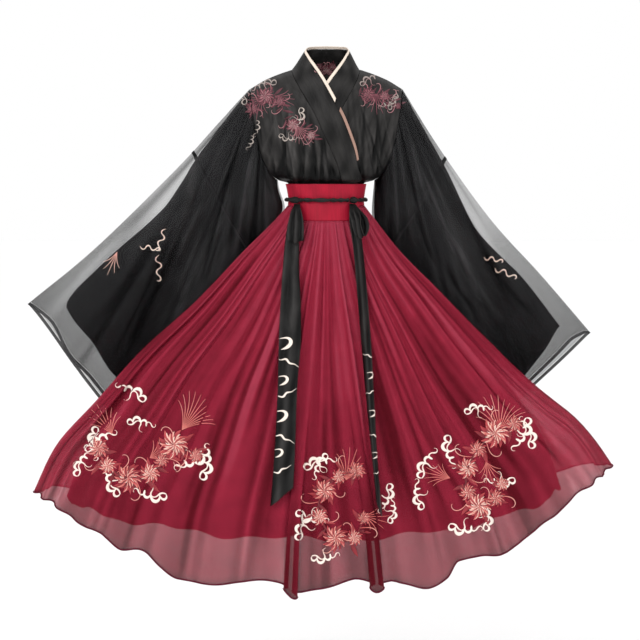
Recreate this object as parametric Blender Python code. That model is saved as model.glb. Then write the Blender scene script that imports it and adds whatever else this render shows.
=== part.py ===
"""A Ruqun-style hanfu set, held open as when worn: a black cross-collar jacket with wide
two-layer sleeves, a red gathered skirt over a shorter lining, and a tied waist cord.

Metres, +Z up. The front faces -Y and the origin is at the neck base, on the shoulder line.
Every cloth piece is a closed wall: an outer grid of points, and an inner grid moved in
along the normals. "right" and "left" in names are the wearer's, so right is at -X.
"""
import math

import bmesh
import bpy
import numpy as np

# ---- driving sizes -------------------------------------------------------------------
CLOTH = 0.0011           # wall of the silky and sheer cloth
BAND_CLOTH = 0.0028      # waistband, folded double over a stiffener
COLLAR_CLOTH = 0.0014    # collar band, folded double
SEAM = 0.00035           # gap between two pieces at a seam
BIAS_SEAM = 0.0007       # the same gap, measured across a slanted seam

WAIST_HEM_Z = -0.345     # lower edge of the jacket, tucked into the waistband
BAND_TOP_Z = -0.263
SKIRT_TOP_FRONT_Z = -0.355
SKIRT_TOP_SIDE_Z = -0.318
PLEATS = 34              # gathers round the skirt
PLEAT_STEPS = 4          # columns in each gather
BAND_COLUMNS = PLEATS * 2

NECK_HALF = 0.086        # half the width between the collar seams on the shoulder line
CUFF_WIDTH = 0.010
SLEEVE_STATIONS = (0.0, 0.05, 0.11, 0.18, 0.27, 0.38, 0.50, 0.63, 0.76, 0.88, 1.0)
PIPING_SHARE = 0.12      # share of the collar band taken by its piping
CREAM_PIPING_END = 0.45  # body fall where the cream piping ends
BEIGE_PIPING_END = 0.70  # and where the muted one below it does
UNDER_INSET = 0.0062     # how far the under front lies inside the over front

CORD_RADIUS = 0.0060
CORD_Z = -0.303
KNOT_RADIUS = 0.0095
KNOT_X = {"right": -0.0737, "left": 0.0652}

# ---- short tables: one row for each section ------------------------------------------
# Waistband and what stands on it: height, half width, depth to the front, to the back.
BAND_SECTIONS = (
    # z,      half,   front,  back
    (-0.263, 0.1035, 0.0880, 0.0830),
    (-0.282, 0.1000, 0.0860, 0.0810),
    (-0.303, 0.0975, 0.0850, 0.0800),
    (-0.318, 0.0985, 0.0865, 0.0810),
    (-0.355, 0.1030, 0.0910, 0.0840),
)
# Over-skirt from the band (fall 0) to the hem (fall 1).
SKIRT_SECTIONS = (
    # fall, right,  left,   front,  back,   wave
    (0.00, 0.0985, 0.0985, 0.0910, 0.0810, 0.0000),
    (0.05, 0.1300, 0.1230, 0.0990, 0.0900, 0.0022),
    (0.16, 0.2100, 0.1790, 0.1200, 0.1060, 0.0045),
    (0.33, 0.3320, 0.2900, 0.1600, 0.1280, 0.0065),
    (0.50, 0.4700, 0.4000, 0.2050, 0.1500, 0.0085),
    (0.68, 0.5880, 0.5280, 0.2520, 0.1740, 0.0105),
    (0.84, 0.6940, 0.6560, 0.2960, 0.1960, 0.0125),
    (1.00, 0.7550, 0.7400, 0.3250, 0.2130, 0.0150),
)
SKIRT_HEM_Z = {"front": -1.222, "back": -1.150, "right": -1.067, "left": -0.998}
LINING_SECTIONS = (
    # fall, right,  left,   front,  back,   wave
    (0.00, 0.0967, 0.0967, 0.0892, 0.0792, 0.0000),
    (0.05, 0.1240, 0.1170, 0.0930, 0.0840, 0.0010),
    (0.16, 0.1980, 0.1660, 0.1080, 0.0930, 0.0020),
    (0.33, 0.3160, 0.2700, 0.1380, 0.1060, 0.0030),
    (0.50, 0.4450, 0.3860, 0.1750, 0.1220, 0.0040),
    (0.68, 0.5520, 0.4970, 0.2140, 0.1410, 0.0050),
    (0.84, 0.6300, 0.5700, 0.2500, 0.1580, 0.0060),
    (1.00, 0.6750, 0.6120, 0.2740, 0.1700, 0.0070),
)
LINING_HEM_Z = {"front": -1.120, "back": -1.075, "right": -1.080, "left": -1.055}
# Two deep front folds at the hem: angle round the skirt, reach out, drop.
HEM_FOLDS = ((math.radians(-6.6), 0.020, 0.022), (math.radians(9.4), 0.020, 0.024))

# Jacket body from the shoulder line (fall 0) to its lower edge (fall 1). Edge is where the
# armhole cuts the ring (1 is its very side), and power 2 is an ellipse, more is squarer.
BODY_SECTIONS = (
    # fall, half,   front,  back,   edge, power
    (0.00, 0.1930, 0.0000, 0.0000, 0.800, 2.4),
    (0.04, 0.1913, 0.0330, 0.0330, 0.800, 2.4),
    (0.09, 0.1893, 0.0520, 0.0530, 0.800, 2.4),
    (0.15, 0.1867, 0.0705, 0.0705, 0.815, 2.4),
    (0.24, 0.1825, 0.0870, 0.0845, 0.830, 2.4),
    (0.34, 0.1770, 0.0960, 0.0900, 0.850, 2.4),
    (0.45, 0.1700, 0.1010, 0.0920, 0.870, 2.4),
    (0.56, 0.1610, 0.1030, 0.0920, 0.900, 2.3),
    (0.64, 0.1500, 0.1025, 0.0920, 0.940, 2.2),
    (0.70, 0.1370, 0.1002, 0.0905, 0.975, 2.1),
    (0.735, 0.1220, 0.0965, 0.0880, 1.000, 2.0),
    (0.757, 0.0975, 0.0823, 0.0776, 1.000, 2.0),
    (0.80, 0.0935, 0.0807, 0.0764, 1.000, 2.0),
    (1.00, 0.0920, 0.0797, 0.0750, 1.000, 2.0),
)
SHOULDER_LINE = ((0.000, 0.040), (0.085, 0.025), (0.150, 0.002), (0.195, -0.024))
LEVEL_FALL = 0.73        # below this the body's rings are level
ARMHOLE_END = 0.735      # share of the body's fall that the armhole takes

# Neck part of the collar, centre back to the shoulder line: its seam and its free edge.
NECK_ROWS = {
    "right": (
        # seam x, y, z            edge x, y, z
        (-0.0003, 0.078, 0.032, -0.0003, 0.047, 0.0890),
        (-0.0300, 0.073, 0.0315, -0.0180, 0.0455, 0.0885),
        (-0.0560, 0.060, 0.030, -0.0340, 0.0380, 0.0870),
        (-0.0780, 0.034, 0.027, -0.0470, 0.0200, 0.0830),
    ),
    "left": (
        (0.0003, 0.078, 0.032, 0.0003, 0.047, 0.0890),
        (0.0290, 0.073, 0.0315, 0.0190, 0.0455, 0.0885),
        (0.0540, 0.060, 0.030, 0.0360, 0.0380, 0.0870),
        (0.0750, 0.034, 0.027, 0.0500, 0.0200, 0.0840),
    ),
}
# Front part of each collar: body fall, seam x, free edge, and how far the edge stands
# free of the body surface (1 at the neck, 0 where the band lies on the body).
COLLAR_ROWS = {
    "right": (
        # fall,  seam x,  edge x,  edge y,  edge z, stand
        (0.000, -0.0880, -0.0510, -0.0040, 0.0740, 1.0),
        (0.067, -0.0790, -0.0400, -0.0300, 0.0530, 1.0),
        (0.175, -0.0580, -0.0250, -0.0490, 0.0320, 1.0),
        (0.313, -0.0280, -0.0010, -0.0720, -0.0060, 0.8),
        (0.449, -0.0040, 0.0240, -0.0900, -0.0510, 0.2),
        (0.561, 0.0160, 0.0490, -0.0980, -0.1010, 0.0),
        (0.640, 0.0285, 0.0730, -0.0900, -0.1650, 0.0),
        (0.700, 0.0350, 0.0850, -0.0900, -0.2180, 0.0),
        (0.735, 0.0390, 0.0890, -0.0700, -0.2520, 0.0),
        (0.757, 0.0400, 0.0680, -0.0500, -0.2612, 0.0),
        (0.800, 0.0390, 0.0580, -0.0480, -0.2760, 0.0),
    ),
    "left": (
        (0.000, 0.0850, 0.0560, -0.0040, 0.0750, 1.0),
        (0.067, 0.0790, 0.0440, -0.0300, 0.0520, 1.0),
        (0.175, 0.0600, 0.0270, -0.0450, 0.0280, 1.0),
        (0.313, 0.0320, 0.0020, -0.0660, -0.0060, 0.8),
        (0.449, 0.0060, -0.0230, -0.0860, -0.0500, 0.2),
        (0.561, -0.0150, -0.0470, -0.0950, -0.1000, 0.0),
        (0.640, -0.0275, -0.0710, -0.0900, -0.1630, 0.0),
        (0.700, -0.0340, -0.0830, -0.0900, -0.2140, 0.0),
        (0.735, -0.0380, -0.0870, -0.0700, -0.2460, 0.0),
        (0.757, -0.0400, -0.0680, -0.0500, -0.2582, 0.0),
        (0.800, -0.0390, -0.0580, -0.0480, -0.2760, 0.0),
    ),
}
BODY_ROWS = tuple(row[0] for row in BODY_SECTIONS)

# Sleeves: top fold and bottom fold from the armhole (0) to the cuff (1), and the depth.
SLEEVES = {
    "right": (
        # along, top x, y, z               bottom x, y, z            depth
        (0.00, -0.1930, 0.000, -0.0230, -0.1230, 0.000, -0.2480, 0.1000),
        (0.08, -0.2400, 0.005, -0.0720, -0.1210, 0.035, -0.3250, 0.0980),
        (0.25, -0.3300, 0.015, -0.1680, -0.1650, 0.130, -0.4700, 0.0800),
        (0.50, -0.4780, 0.030, -0.3130, -0.2610, 0.185, -0.6780, 0.0600),
        (0.75, -0.6320, 0.045, -0.4540, -0.3750, 0.235, -0.8730, 0.0500),
        (1.00, -0.7900, 0.060, -0.5800, -0.5100, 0.265, -1.0680, 0.0460),
    ),
    "left": (
        (0.00, 0.1930, 0.000, -0.0230, 0.1230, 0.000, -0.2480, 0.1000),
        (0.08, 0.2250, 0.005, -0.0740, 0.1190, 0.035, -0.3250, 0.0980),
        (0.25, 0.3120, 0.015, -0.2040, 0.1500, 0.130, -0.4700, 0.0800),
        (0.50, 0.4340, 0.030, -0.3630, 0.2110, 0.185, -0.6780, 0.0600),
        (0.75, 0.5660, 0.045, -0.5030, 0.2850, 0.235, -0.8820, 0.0500),
        (1.00, 0.7020, 0.060, -0.6560, 0.3530, 0.265, -1.0890, 0.0460),
    ),
}
# The black inner sleeve inside each: the shares of the fall between the folds where its
# own folds lie, and its depth as a share of the outer sleeve's.
INNER_SLEEVE = (
    # along, top,  bottom, fullness
    (0.00, 0.010, 0.990, 0.950),
    (0.10, 0.030, 0.970, 0.84),
    (0.25, 0.050, 0.955, 0.72),
    (0.40, 0.095, 0.950, 0.64),
    (0.50, 0.120, 0.940, 0.60),
    (0.75, 0.100, 0.920, 0.56),
    (1.00, 0.107, 0.900, 0.56),
)
INNER_SLEEVE_END = {"right": 0.890, "left": 0.925}

# Streamers: height, its two edges in x, and how far a lengthwise fold stands out.
STREAMERS = {
    "right": (
        # z,     right x, left x, fold
        (-0.3145, -0.0800, -0.0670, 0.001),
        (-0.345, -0.0930, -0.0660, 0.003),
        (-0.426, -0.1050, -0.0680, 0.003),
        (-0.618, -0.1160, -0.0620, 0.002),
        (-0.782, -0.1200, -0.0760, 0.004),
        (-0.921, -0.1290, -0.0850, 0.004),
        (-1.010, -0.1350, -0.0960, 0.003),
    ),
    "left": (
        (-0.3145, 0.0590, 0.0710, 0.001),
        (-0.345, 0.0580, 0.0800, 0.004),
        (-0.415, 0.0665, 0.0910, 0.008),
        (-0.640, 0.0850, 0.1095, 0.012),
        (-0.780, 0.0960, 0.1170, 0.014),
        (-0.900, 0.1070, 0.1230, 0.016),
        (-1.040, 0.1200, 0.1340, 0.016),
    ),
}
STREAMER_SLANT = {"right": -0.022, "left": 0.030}
STREAMER_CLEAR = 0.0160  # stands this far off the skirt's mean surface

# Bow loops: middle line as (across, out, z) from the knot down and back up, and width.
LOOP_WIDTH = {"right": 0.040, "left": 0.026}
LOOP_TURN = {  # about the vertical, at the knot and further down
    "right": (math.radians(-40.0), math.radians(-12.0)),
    "left": (math.radians(30.0), math.radians(-50.0)),
}
LOOP_ROWS = {
    "right": (
        # x,      out,    z
        (-0.0737, 0.0112, -0.3132),
        (-0.0742, 0.0290, -0.3270),
        (-0.0750, 0.0390, -0.3560),
        (-0.0760, 0.0400, -0.3880),
        (-0.0765, 0.0330, -0.4080),
        (-0.0760, 0.0260, -0.3980),
        (-0.0750, 0.0240, -0.3700),
        (-0.0742, 0.0190, -0.3400),
        (-0.0737, 0.0074, -0.3132),
    ),
    "left": (
        (0.0652, 0.0112, -0.3132),
        (0.0670, 0.0290, -0.3300),
        (0.0720, 0.0380, -0.3600),
        (0.0790, 0.0400, -0.3850),
        (0.0880, 0.0370, -0.3960),
        (0.0990, 0.0310, -0.3780),
        (0.0950, 0.0260, -0.3540),
        (0.0810, 0.0200, -0.3340),
        (0.0652, 0.0074, -0.3132),
    ),
}

COLOURS = {
    # name:        red,   green, blue,  roughness
    "black_silk": (0.018, 0.019, 0.021, 0.55),
    "black_sheer": (0.050, 0.052, 0.056, 0.70),
    "cream": (0.720, 0.620, 0.530, 0.60),
    "beige": (0.420, 0.260, 0.200, 0.60),
    "band_red": (0.420, 0.018, 0.035, 0.60),
    "skirt_red": (0.300, 0.016, 0.038, 0.65),
    "lining_red": (0.260, 0.012, 0.030, 0.70),
}


# ---- reading the tables --------------------------------------------------------------
def smooth(t):
    """0 to 1 with flat ends."""
    t = min(1.0, max(0.0, t))
    return t * t * (3.0 - 2.0 * t)


def read(rows, t, column):
    """A column of a table at t (its first column), on a smooth curve that never overshoots."""
    keys = [row[0] for row in rows]
    vals = [row[column] for row in rows]
    if keys[0] > keys[-1]:
        keys, vals = [-k for k in keys], vals
        t = -t
    if t <= keys[0]:
        return vals[0]
    if t >= keys[-1]:
        return vals[-1]
    slopes = [(vals[i + 1] - vals[i]) / (keys[i + 1] - keys[i]) for i in range(len(keys) - 1)]
    tangents = [slopes[0]]
    for before, after in zip(slopes, slopes[1:]):
        same_way = before * after > 0.0
        tangents.append(2.0 * before * after / (before + after) if same_way else 0.0)
    tangents.append(slopes[-1])
    i = max(k for k in range(len(keys) - 1) if keys[k] <= t)
    step = keys[i + 1] - keys[i]
    u = (t - keys[i]) / step
    return (
        vals[i] * (1 + 2 * u) * (1 - u) ** 2
        + tangents[i] * step * u * (1 - u) ** 2
        + vals[i + 1] * u * u * (3 - 2 * u)
        + tangents[i + 1] * step * u * u * (u - 1)
    )


# ---- surfaces ------------------------------------------------------------------------
def band_point(angle, z, out=0.0):
    """On the waistband's outside at this angle (0 is the front, +90 degrees is +X)."""
    half = read(BAND_SECTIONS, z, 1) + out
    depth = read(BAND_SECTIONS, z, 2 if math.cos(angle) > 0 else 3) + out
    return np.array([half * math.sin(angle), -depth * math.cos(angle), z])


def skirt_top_z(angle):
    """The seam between band and skirt: deeper across the front, just under the cord elsewhere.
    It is straight between the waistband's columns, so that both pieces share it."""
    step = 2.0 * math.pi / BAND_COLUMNS
    first = math.floor(angle / step) * step
    share = (angle - first) / step
    dips = [smooth((math.cos(a) - 0.50) / 0.32) for a in (first, first + step)]
    dip = dips[0] * (1 - share) + dips[1] * share
    return SKIRT_TOP_SIDE_Z + (SKIRT_TOP_FRONT_Z - SKIRT_TOP_SIDE_Z) * dip


def hem_z(angle, heights):
    """Height of a hem: each side has its own, and it dips to the front and back middle."""
    lean = smooth((math.sin(angle) + 1.0) / 2.0)
    side = heights["right"] * (1 - lean) + heights["left"] * lean
    middle = heights["front"] if math.cos(angle) > 0 else heights["back"]
    share = math.cos(angle) ** 2
    return side * (1 - share) + middle * share


def skirt_point(angle, fall, sections, heights, folds=()):
    """On the outside of a skirt layer: lens-shaped rings that widen from the band's own
    ring to the hem, with gathers."""
    half = read(sections, fall, 1 if math.sin(angle) < 0 else 2)
    column = 3 if math.cos(angle) > 0 else 4
    depth = read(sections, fall, column)
    top, bottom = skirt_top_z(angle), hem_z(angle, heights)
    joined = 1.0 - smooth(fall / 0.08)
    half += joined * (read(BAND_SECTIONS, top, 1) - SKIRT_SECTIONS[0][1])
    depth += joined * (read(BAND_SECTIONS, top, column - 1) - SKIRT_SECTIONS[0][column])
    x, y, z = half * math.sin(angle), -depth * math.cos(angle), top + (bottom - top) * fall
    normal = np.array([math.sin(angle) / half, -math.cos(angle) / depth, 0.0])
    normal /= np.linalg.norm(normal)
    uneven = 0.72 + 0.28 * math.sin(3.0 * angle + 0.8) * math.cos(5.0 * angle)
    push = read(sections, fall, 5) * uneven * math.cos(PLEATS * angle)
    for centre, reach, drop in folds:
        share = math.exp(-(((angle - centre) / 0.05) ** 2)) * fall ** 3
        push += reach * share
        z -= drop * share
    return np.array([x, y, z]) + normal * push


def over_skirt(angle, fall):
    return skirt_point(angle, fall, SKIRT_SECTIONS, SKIRT_HEM_Z, HEM_FOLDS)


def skirt_front_y(x, z):
    """Mean depth of the front at this place: the over-skirt's without its gathers, and the
    waistband's above it."""
    angle = 0.0
    for _ in range(12):
        top = skirt_top_z(angle)
        fall = min(1.0, max(0.0, (top - z) / (top - hem_z(angle, SKIRT_HEM_Z))))
        joined = 1.0 - smooth(fall / 0.08)
        half = read(SKIRT_SECTIONS, fall, 1 if x < 0 else 2)
        half += joined * (read(BAND_SECTIONS, max(z, top), 1) - SKIRT_SECTIONS[0][1])
        angle = math.asin(max(-0.98, min(0.98, x / half)))
    depth = read(SKIRT_SECTIONS, fall, 3)
    depth += joined * (read(BAND_SECTIONS, max(z, top), 2) - SKIRT_SECTIONS[0][3])
    return -depth * math.cos(angle)


def shoulder_z(x):
    return read(SHOULDER_LINE, abs(x), 1)


def body_z(top, fall):
    """Height on the body: it follows the shoulder slope above and is level at the waist."""
    slope = max(0.0, 1.0 - fall / LEVEL_FALL) ** 1.3
    return WAIST_HEM_Z * fall + top * slope


def under_inset(across, fall):
    """How far inside the under front lies: nothing at the shoulder and armhole, where it
    is sewn to the same seams, and less where the waistband holds both fronts together."""
    spread = smooth((1.0 - across) / 0.45) * smooth(fall / 0.25)
    held = smooth((fall - 0.735) / 0.03)
    return UNDER_INSET * spread * (1.0 - 0.52 * held)


def body_point(across, fall, back=False, under=False):
    """On the jacket body: across runs -1 to 1 between the armholes."""
    inset = under_inset(across, fall) if under else 0.0
    half = read(BODY_SECTIONS, fall, 1) - inset
    depth = max(0.0, read(BODY_SECTIONS, fall, 3 if back else 2) - inset)
    edge, power = read(BODY_SECTIONS, fall, 4), read(BODY_SECTIONS, fall, 5)
    z = body_z(shoulder_z(BODY_SECTIONS[0][1] * across), fall)
    z += inset * (smooth((fall - 0.60) / 0.10) - smooth((fall - 0.76) / 0.06))
    y = depth * math.sqrt(max(0.0, 1.0 - abs(across * edge) ** power))
    y += SEAM * (1.0 + 1.5 * smooth((fall - 0.70) / 0.03))
    return np.array([half * across, y if back else -y, z])


def body_place(x, z, under=False):
    """The front body point over this x and z."""
    low, high = 0.0, 1.0
    for _ in range(30):
        fall = (low + high) / 2.0
        half = read(BODY_SECTIONS, fall, 1)
        half -= under_inset(x / half, fall) if under else 0.0
        across = max(-1.0, min(1.0, x / half))
        if body_point(across, fall, under=under)[2] > z:
            low = fall
        else:
            high = fall
    return body_point(across, fall, under=under)


def seam_point(side, fall):
    """Where a front meets its collar band."""
    across = read(COLLAR_ROWS[side], fall, 1) / read(BODY_SECTIONS, fall, 1)
    return body_point(across, fall, under=side == "left")


def collar_point(side, fall, share):
    """On a collar band in front of the shoulder: share runs 0 at the seam to 1 at the edge."""
    rows = COLLAR_ROWS[side]
    seam = seam_point(side, fall)
    edge = np.array([read(rows, fall, k) for k in (2, 3, 4)])
    free = seam * (1 - share) + edge * share
    stand = read(rows, fall, 5)
    if stand > 0.999:
        return free
    lying = body_place(free[0], free[2], under=side == "left")
    return np.array([free[0], free[1] * stand + lying[1] * (1 - stand), free[2]])


def sleeve_lens(rows, along, drop, turn, fullness):
    """A flattened tube between the sleeve's two folds."""
    top = np.array([read(rows, along, k) for k in (1, 2, 3)])
    bottom = np.array([read(rows, along, k) for k in (4, 5, 6)])
    chord = bottom - top
    out = np.array([0.0, -1.0, 0.0])
    out -= chord * (out @ chord) / (chord @ chord)
    out /= np.linalg.norm(out)
    return top + chord * drop + out * (read(rows, along, 7) / 2.0) * math.sin(turn) * fullness


def sleeve_point(side, along, turn, first=0.0, last=1.0, fullness=1.0):
    """On a sleeve: turn 0 is the top fold, half a turn the bottom fold, the front between.
    It starts on the armhole. An inner layer takes only the shares first to last of the
    fall between the folds, and is less full."""
    rows = SLEEVES[side]
    drop = first + (last - first) * (1.0 - math.cos(turn)) / 2.0
    sign = -1.0 if side == "right" else 1.0
    hole = body_point(sign, drop * ARMHOLE_END)
    hole[0] += sign * (CLOTH + SEAM)
    rim = body_point(sign, (1.0 - math.cos(turn)) / 2.0 * ARMHOLE_END, math.sin(turn) < 0)
    hole[1] = rim[1] * fullness
    start = sleeve_lens(rows, 0.0, drop, turn, fullness)
    place = sleeve_lens(rows, along, drop, turn, fullness)
    place += (hole - start) * (1.0 - smooth(along / 0.40))
    place[1] += sleeve_fold(place) * smooth(along / 0.35)
    return place


def inner_sleeve_point(side, along, turn):
    first, last, fullness = (read(INNER_SLEEVE, along, k) for k in (1, 2, 3))
    return sleeve_point(side, along * INNER_SLEEVE_END[side], turn, first, last, fullness)


def sleeve_fold(place):
    """Soft folds that fan out from the shoulder, the same for both layers of a sleeve."""
    reach_x, reach_z = abs(place[0]) - 0.17, -0.01 - place[2]
    heading = math.atan2(reach_z, max(1e-4, reach_x))
    far = smooth(math.hypot(reach_x, reach_z) / 0.5)
    return 0.009 * far * math.sin(17.0 * heading + 0.6)


# ---- solids --------------------------------------------------------------------------
def grid_normals(grid, ring):
    """Unit normals of a grid of points; ring joins its last column to its first."""
    down = np.gradient(grid, axis=0)
    if ring:
        wrapped = np.concatenate([grid[:, -1:], grid, grid[:, :1]], axis=1)
        across = (wrapped[:, 2:] - wrapped[:, :-2]) / 2.0
    else:
        across = np.gradient(grid, axis=1)
    normal = np.cross(down, across)
    size = np.linalg.norm(normal, axis=2, keepdims=True)
    return normal / np.maximum(size, 1e-12)


def wall(name, grid, thickness, colour, ring=False, flip=False, shoulder=False):
    """A closed wall: the grid is its outside, and its inside is moved in along the normals.
    A shoulder's first row is moved straight down, so front and back meet without crossing."""
    grid = np.asarray(grid, dtype=float)
    normals = grid_normals(grid, ring) * (-1.0 if flip else 1.0)
    if shoulder:
        normals[0][abs(grid[0, :, 0]) > NECK_HALF] = (0.0, 0.0, 1.0)
    inner = grid - normals * thickness
    rows, cols = grid.shape[:2]
    points = [tuple(p) for p in grid.reshape(-1, 3)] + [tuple(p) for p in inner.reshape(-1, 3)]
    size = rows * cols
    faces = []
    steps = cols if ring else cols - 1
    for i in range(rows - 1):
        for j in range(steps):
            k = (j + 1) % cols
            a, b, c, d = i * cols + j, i * cols + k, (i + 1) * cols + k, (i + 1) * cols + j
            # both sides are split along the same diagonal, so a twisted wall never crosses itself
            straight = math.dist(points[a], points[c]) <= math.dist(points[b], points[d])
            for corners in ((a, b, c), (a, c, d)) if straight else ((a, b, d), (b, c, d)):
                faces.append(corners)
                faces.append(tuple(size + corner for corner in reversed(corners)))
    for i, turned in ((0, True), (rows - 1, False)):
        for j in range(steps):
            a, b = i * cols + j, i * cols + (j + 1) % cols
            rim = (a, b, size + b, size + a)
            faces.append(rim[::-1] if turned else rim)
    if not ring:
        for j, turned in ((0, False), (cols - 1, True)):
            for i in range(rows - 1):
                a, b = i * cols + j, (i + 1) * cols + j
                rim = (a, b, size + b, size + a)
                faces.append(rim[::-1] if turned else rim)
    return add_mesh(name, points, faces, colour)


def tube(name, path, radius, colour, sides=8):
    """A round cord along a path, with flat ends."""
    path = [np.asarray(p, dtype=float) for p in path]
    points, faces = [], []
    up = np.array([0.0, 0.0, 1.0])
    for i, place in enumerate(path):
        ahead = path[min(i + 1, len(path) - 1)] - path[max(i - 1, 0)]
        ahead /= np.linalg.norm(ahead)
        side = np.cross(ahead, up)
        side /= np.linalg.norm(side)
        over = np.cross(side, ahead)
        for j in range(sides):
            turn = 2.0 * math.pi * j / sides
            points.append(tuple(place + radius * (math.cos(turn) * side + math.sin(turn) * over)))
    for i in range(len(path) - 1):
        for j in range(sides):
            k = (j + 1) % sides
            faces.append((i * sides + j, i * sides + k, (i + 1) * sides + k, (i + 1) * sides + j))
    faces.append(tuple(reversed(range(sides))))
    faces.append(tuple(range((len(path) - 1) * sides, len(path) * sides)))
    return add_mesh(name, points, faces, colour)


def add_mesh(name, points, faces, colour):
    mesh = bpy.data.meshes.new(name)
    mesh.from_pydata(points, [], faces)
    shape = bmesh.new()
    shape.from_mesh(mesh)
    bmesh.ops.recalc_face_normals(shape, faces=shape.faces)
    shape.to_mesh(mesh)
    shape.free()
    body = bpy.data.objects.new(name, mesh)
    bpy.context.scene.collection.objects.link(body)
    body.data.materials.append(material(colour))
    return body


def material(name):
    found = bpy.data.materials.get(name)
    if found:
        return found
    red, green, blue, roughness = COLOURS[name]
    made = bpy.data.materials.new(name)
    made.use_nodes = True
    shader = made.node_tree.nodes["Principled BSDF"]
    shader.inputs["Base Color"].default_value = (red, green, blue, 1.0)
    shader.inputs["Roughness"].default_value = roughness
    shader.inputs["Metallic"].default_value = 0.0
    return made


# ---- the jacket ----------------------------------------------------------------------
def neck_top(x):
    """The back neckline: where the back panel meets the collar band."""
    rows = NECK_ROWS["right" if x < 0 else "left"]
    edge = [(abs(row[0]), row[1], row[2]) for row in rows]
    edge.append((0.089, 0.0, shoulder_z(0.089)))
    return read(edge, abs(x), 1), read(edge, abs(x), 2)


def build_back(columns=16):
    grid = []
    for fall in BODY_ROWS:
        row = []
        for j in range(columns + 1):
            across = -1.0 + 2.0 * j / columns
            place = body_point(across, fall, back=True)
            start = body_point(across, 0.0, back=True)
            inside = 1.0 - smooth((abs(start[0]) - 0.074) / 0.026)
            if fall < 0.18 and inside > 0.0:
                y, z = neck_top(start[0])
                foot = body_point(across, 0.18, back=True)
                share = fall / 0.18
                level = np.array([start[0], y + SEAM, z - SEAM * 3]) * (1 - share) + foot * share
                place = place * (1 - inside) + level * inside
            row.append(place)
        grid.append(row)
    wall("jacket_back", grid, CLOTH, "black_silk", flip=True, shoulder=True)


def build_front(name, side, columns=9):
    sign = -1.0 if side == "right" else 1.0
    grid = []
    for fall in BODY_ROWS:
        seam = read(COLLAR_ROWS[side], fall, 1) + sign * BIAS_SEAM
        inner = seam / read(BODY_SECTIONS, fall, 1)
        row = []
        for j in range(columns + 1):
            across = inner + (sign - inner) * j / columns
            row.append(body_point(across, fall, under=side == "left"))
        grid.append(row)
    wall(name, grid, CLOTH, "black_silk", flip=side == "right", shoulder=True)


def collar_rows(side, first, last, columns):
    """The band from centre back, round the neck and down the front, between two shares:
    each is a function of the fall, below 0 behind the shoulder."""
    grid = []
    for row in NECK_ROWS[side]:
        seam, edge = np.array(row[:3]), np.array(row[3:])
        shares = np.linspace(first(-1.0), last(-1.0), columns + 1)
        grid.append([seam * (1 - s) + edge * s for s in shares])
    for fall in BODY_ROWS[:-1]:
        shares = np.linspace(first(fall), last(fall), columns + 1)
        grid.append([collar_point(side, fall, s) for s in shares])
    return np.array(grid)


def band_share(side):
    """How much of the collar's width its black band takes: all of it where no piping is."""
    end = BEIGE_PIPING_END if side == "right" else CREAM_PIPING_END
    return lambda fall: 1.0 - PIPING_SHARE if fall <= end else 1.0


def build_collars():
    cream_rows = len(NECK_ROWS["right"]) + BODY_ROWS.index(CREAM_PIPING_END) + 1
    for side, name in (("right", "over"), ("left", "under")):
        flip = side == "left"
        band = collar_rows(side, lambda fall: 0.0, band_share(side), 3)
        wall("collar_" + name, band, COLLAR_CLOTH, "black_silk", flip=flip)
        edge = collar_rows(side, lambda fall: 1.008 - PIPING_SHARE, lambda fall: 1.0, 1)
        wall("collar_piping_" + name, edge[:cream_rows], COLLAR_CLOTH, "cream", flip=flip)
        if side == "right":
            last = len(NECK_ROWS["right"]) + BODY_ROWS.index(BEIGE_PIPING_END)
            start = edge[cream_rows - 1] * 0.55 + edge[cream_rows] * 0.45
            end = edge[last - 1] * 0.3 + edge[last] * 0.7
            beige = np.array([start, *edge[cream_rows:last], end])
            wall("front_edge_piping", beige, COLLAR_CLOTH, "beige", flip=flip)


def sleeve_turns():
    """Turns round a sleeve that meet the rows of the body at the armhole."""
    falls = [f for f in BODY_ROWS if f <= ARMHOLE_END]
    front = [math.acos(1.0 - 2.0 * f / ARMHOLE_END) for f in falls]
    return front + [2.0 * math.pi - t for t in reversed(front[1:-1])]


def build_sleeve(side, name, colour, point, ends, stations=SLEEVE_STATIONS):
    grid = []
    for station in stations:
        along = ends[0] + (ends[1] - ends[0]) * station
        grid.append([point(side, along, turn) for turn in sleeve_turns()])
    wall(name + side, grid, CLOTH, colour, ring=True, flip=side == "left")


def build_sleeves():
    for side, rows in SLEEVES.items():
        step = math.dist(rows[-1][1:4], rows[-2][1:4]) / (rows[-1][0] - rows[-2][0])
        cuff = 1.0 - CUFF_WIDTH / step
        build_sleeve(side, "sleeve_sheer_", "black_sheer", sleeve_point, (0.0, cuff))
        build_sleeve(side, "cuff_band_", "black_silk", sleeve_point, (cuff + 3 * SEAM / step, 1.0), (0, 1))
        build_sleeve(side, "sleeve_inner_", "black_silk", inner_sleeve_point, (0.0, 1.0))


# ---- the skirt -----------------------------------------------------------------------
def build_skirt():
    columns = PLEATS * PLEAT_STEPS
    falls = (0.0, 0.05, 0.16, 0.33, 0.50, 0.68, 0.84, 1.0)
    angles = [2.0 * math.pi * j / columns - math.pi for j in range(columns)]
    grid = [[over_skirt(a, f) for a in angles] for f in falls]
    wall("skirt_over", grid, CLOTH, "skirt_red", ring=True)
    columns = PLEATS * 2
    angles = [2.0 * math.pi * j / columns - math.pi for j in range(columns)]
    grid = [[skirt_point(a, f, LINING_SECTIONS, LINING_HEM_Z) for a in angles] for f in falls]
    wall("skirt_lining", grid, CLOTH, "lining_red", ring=True)


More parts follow.
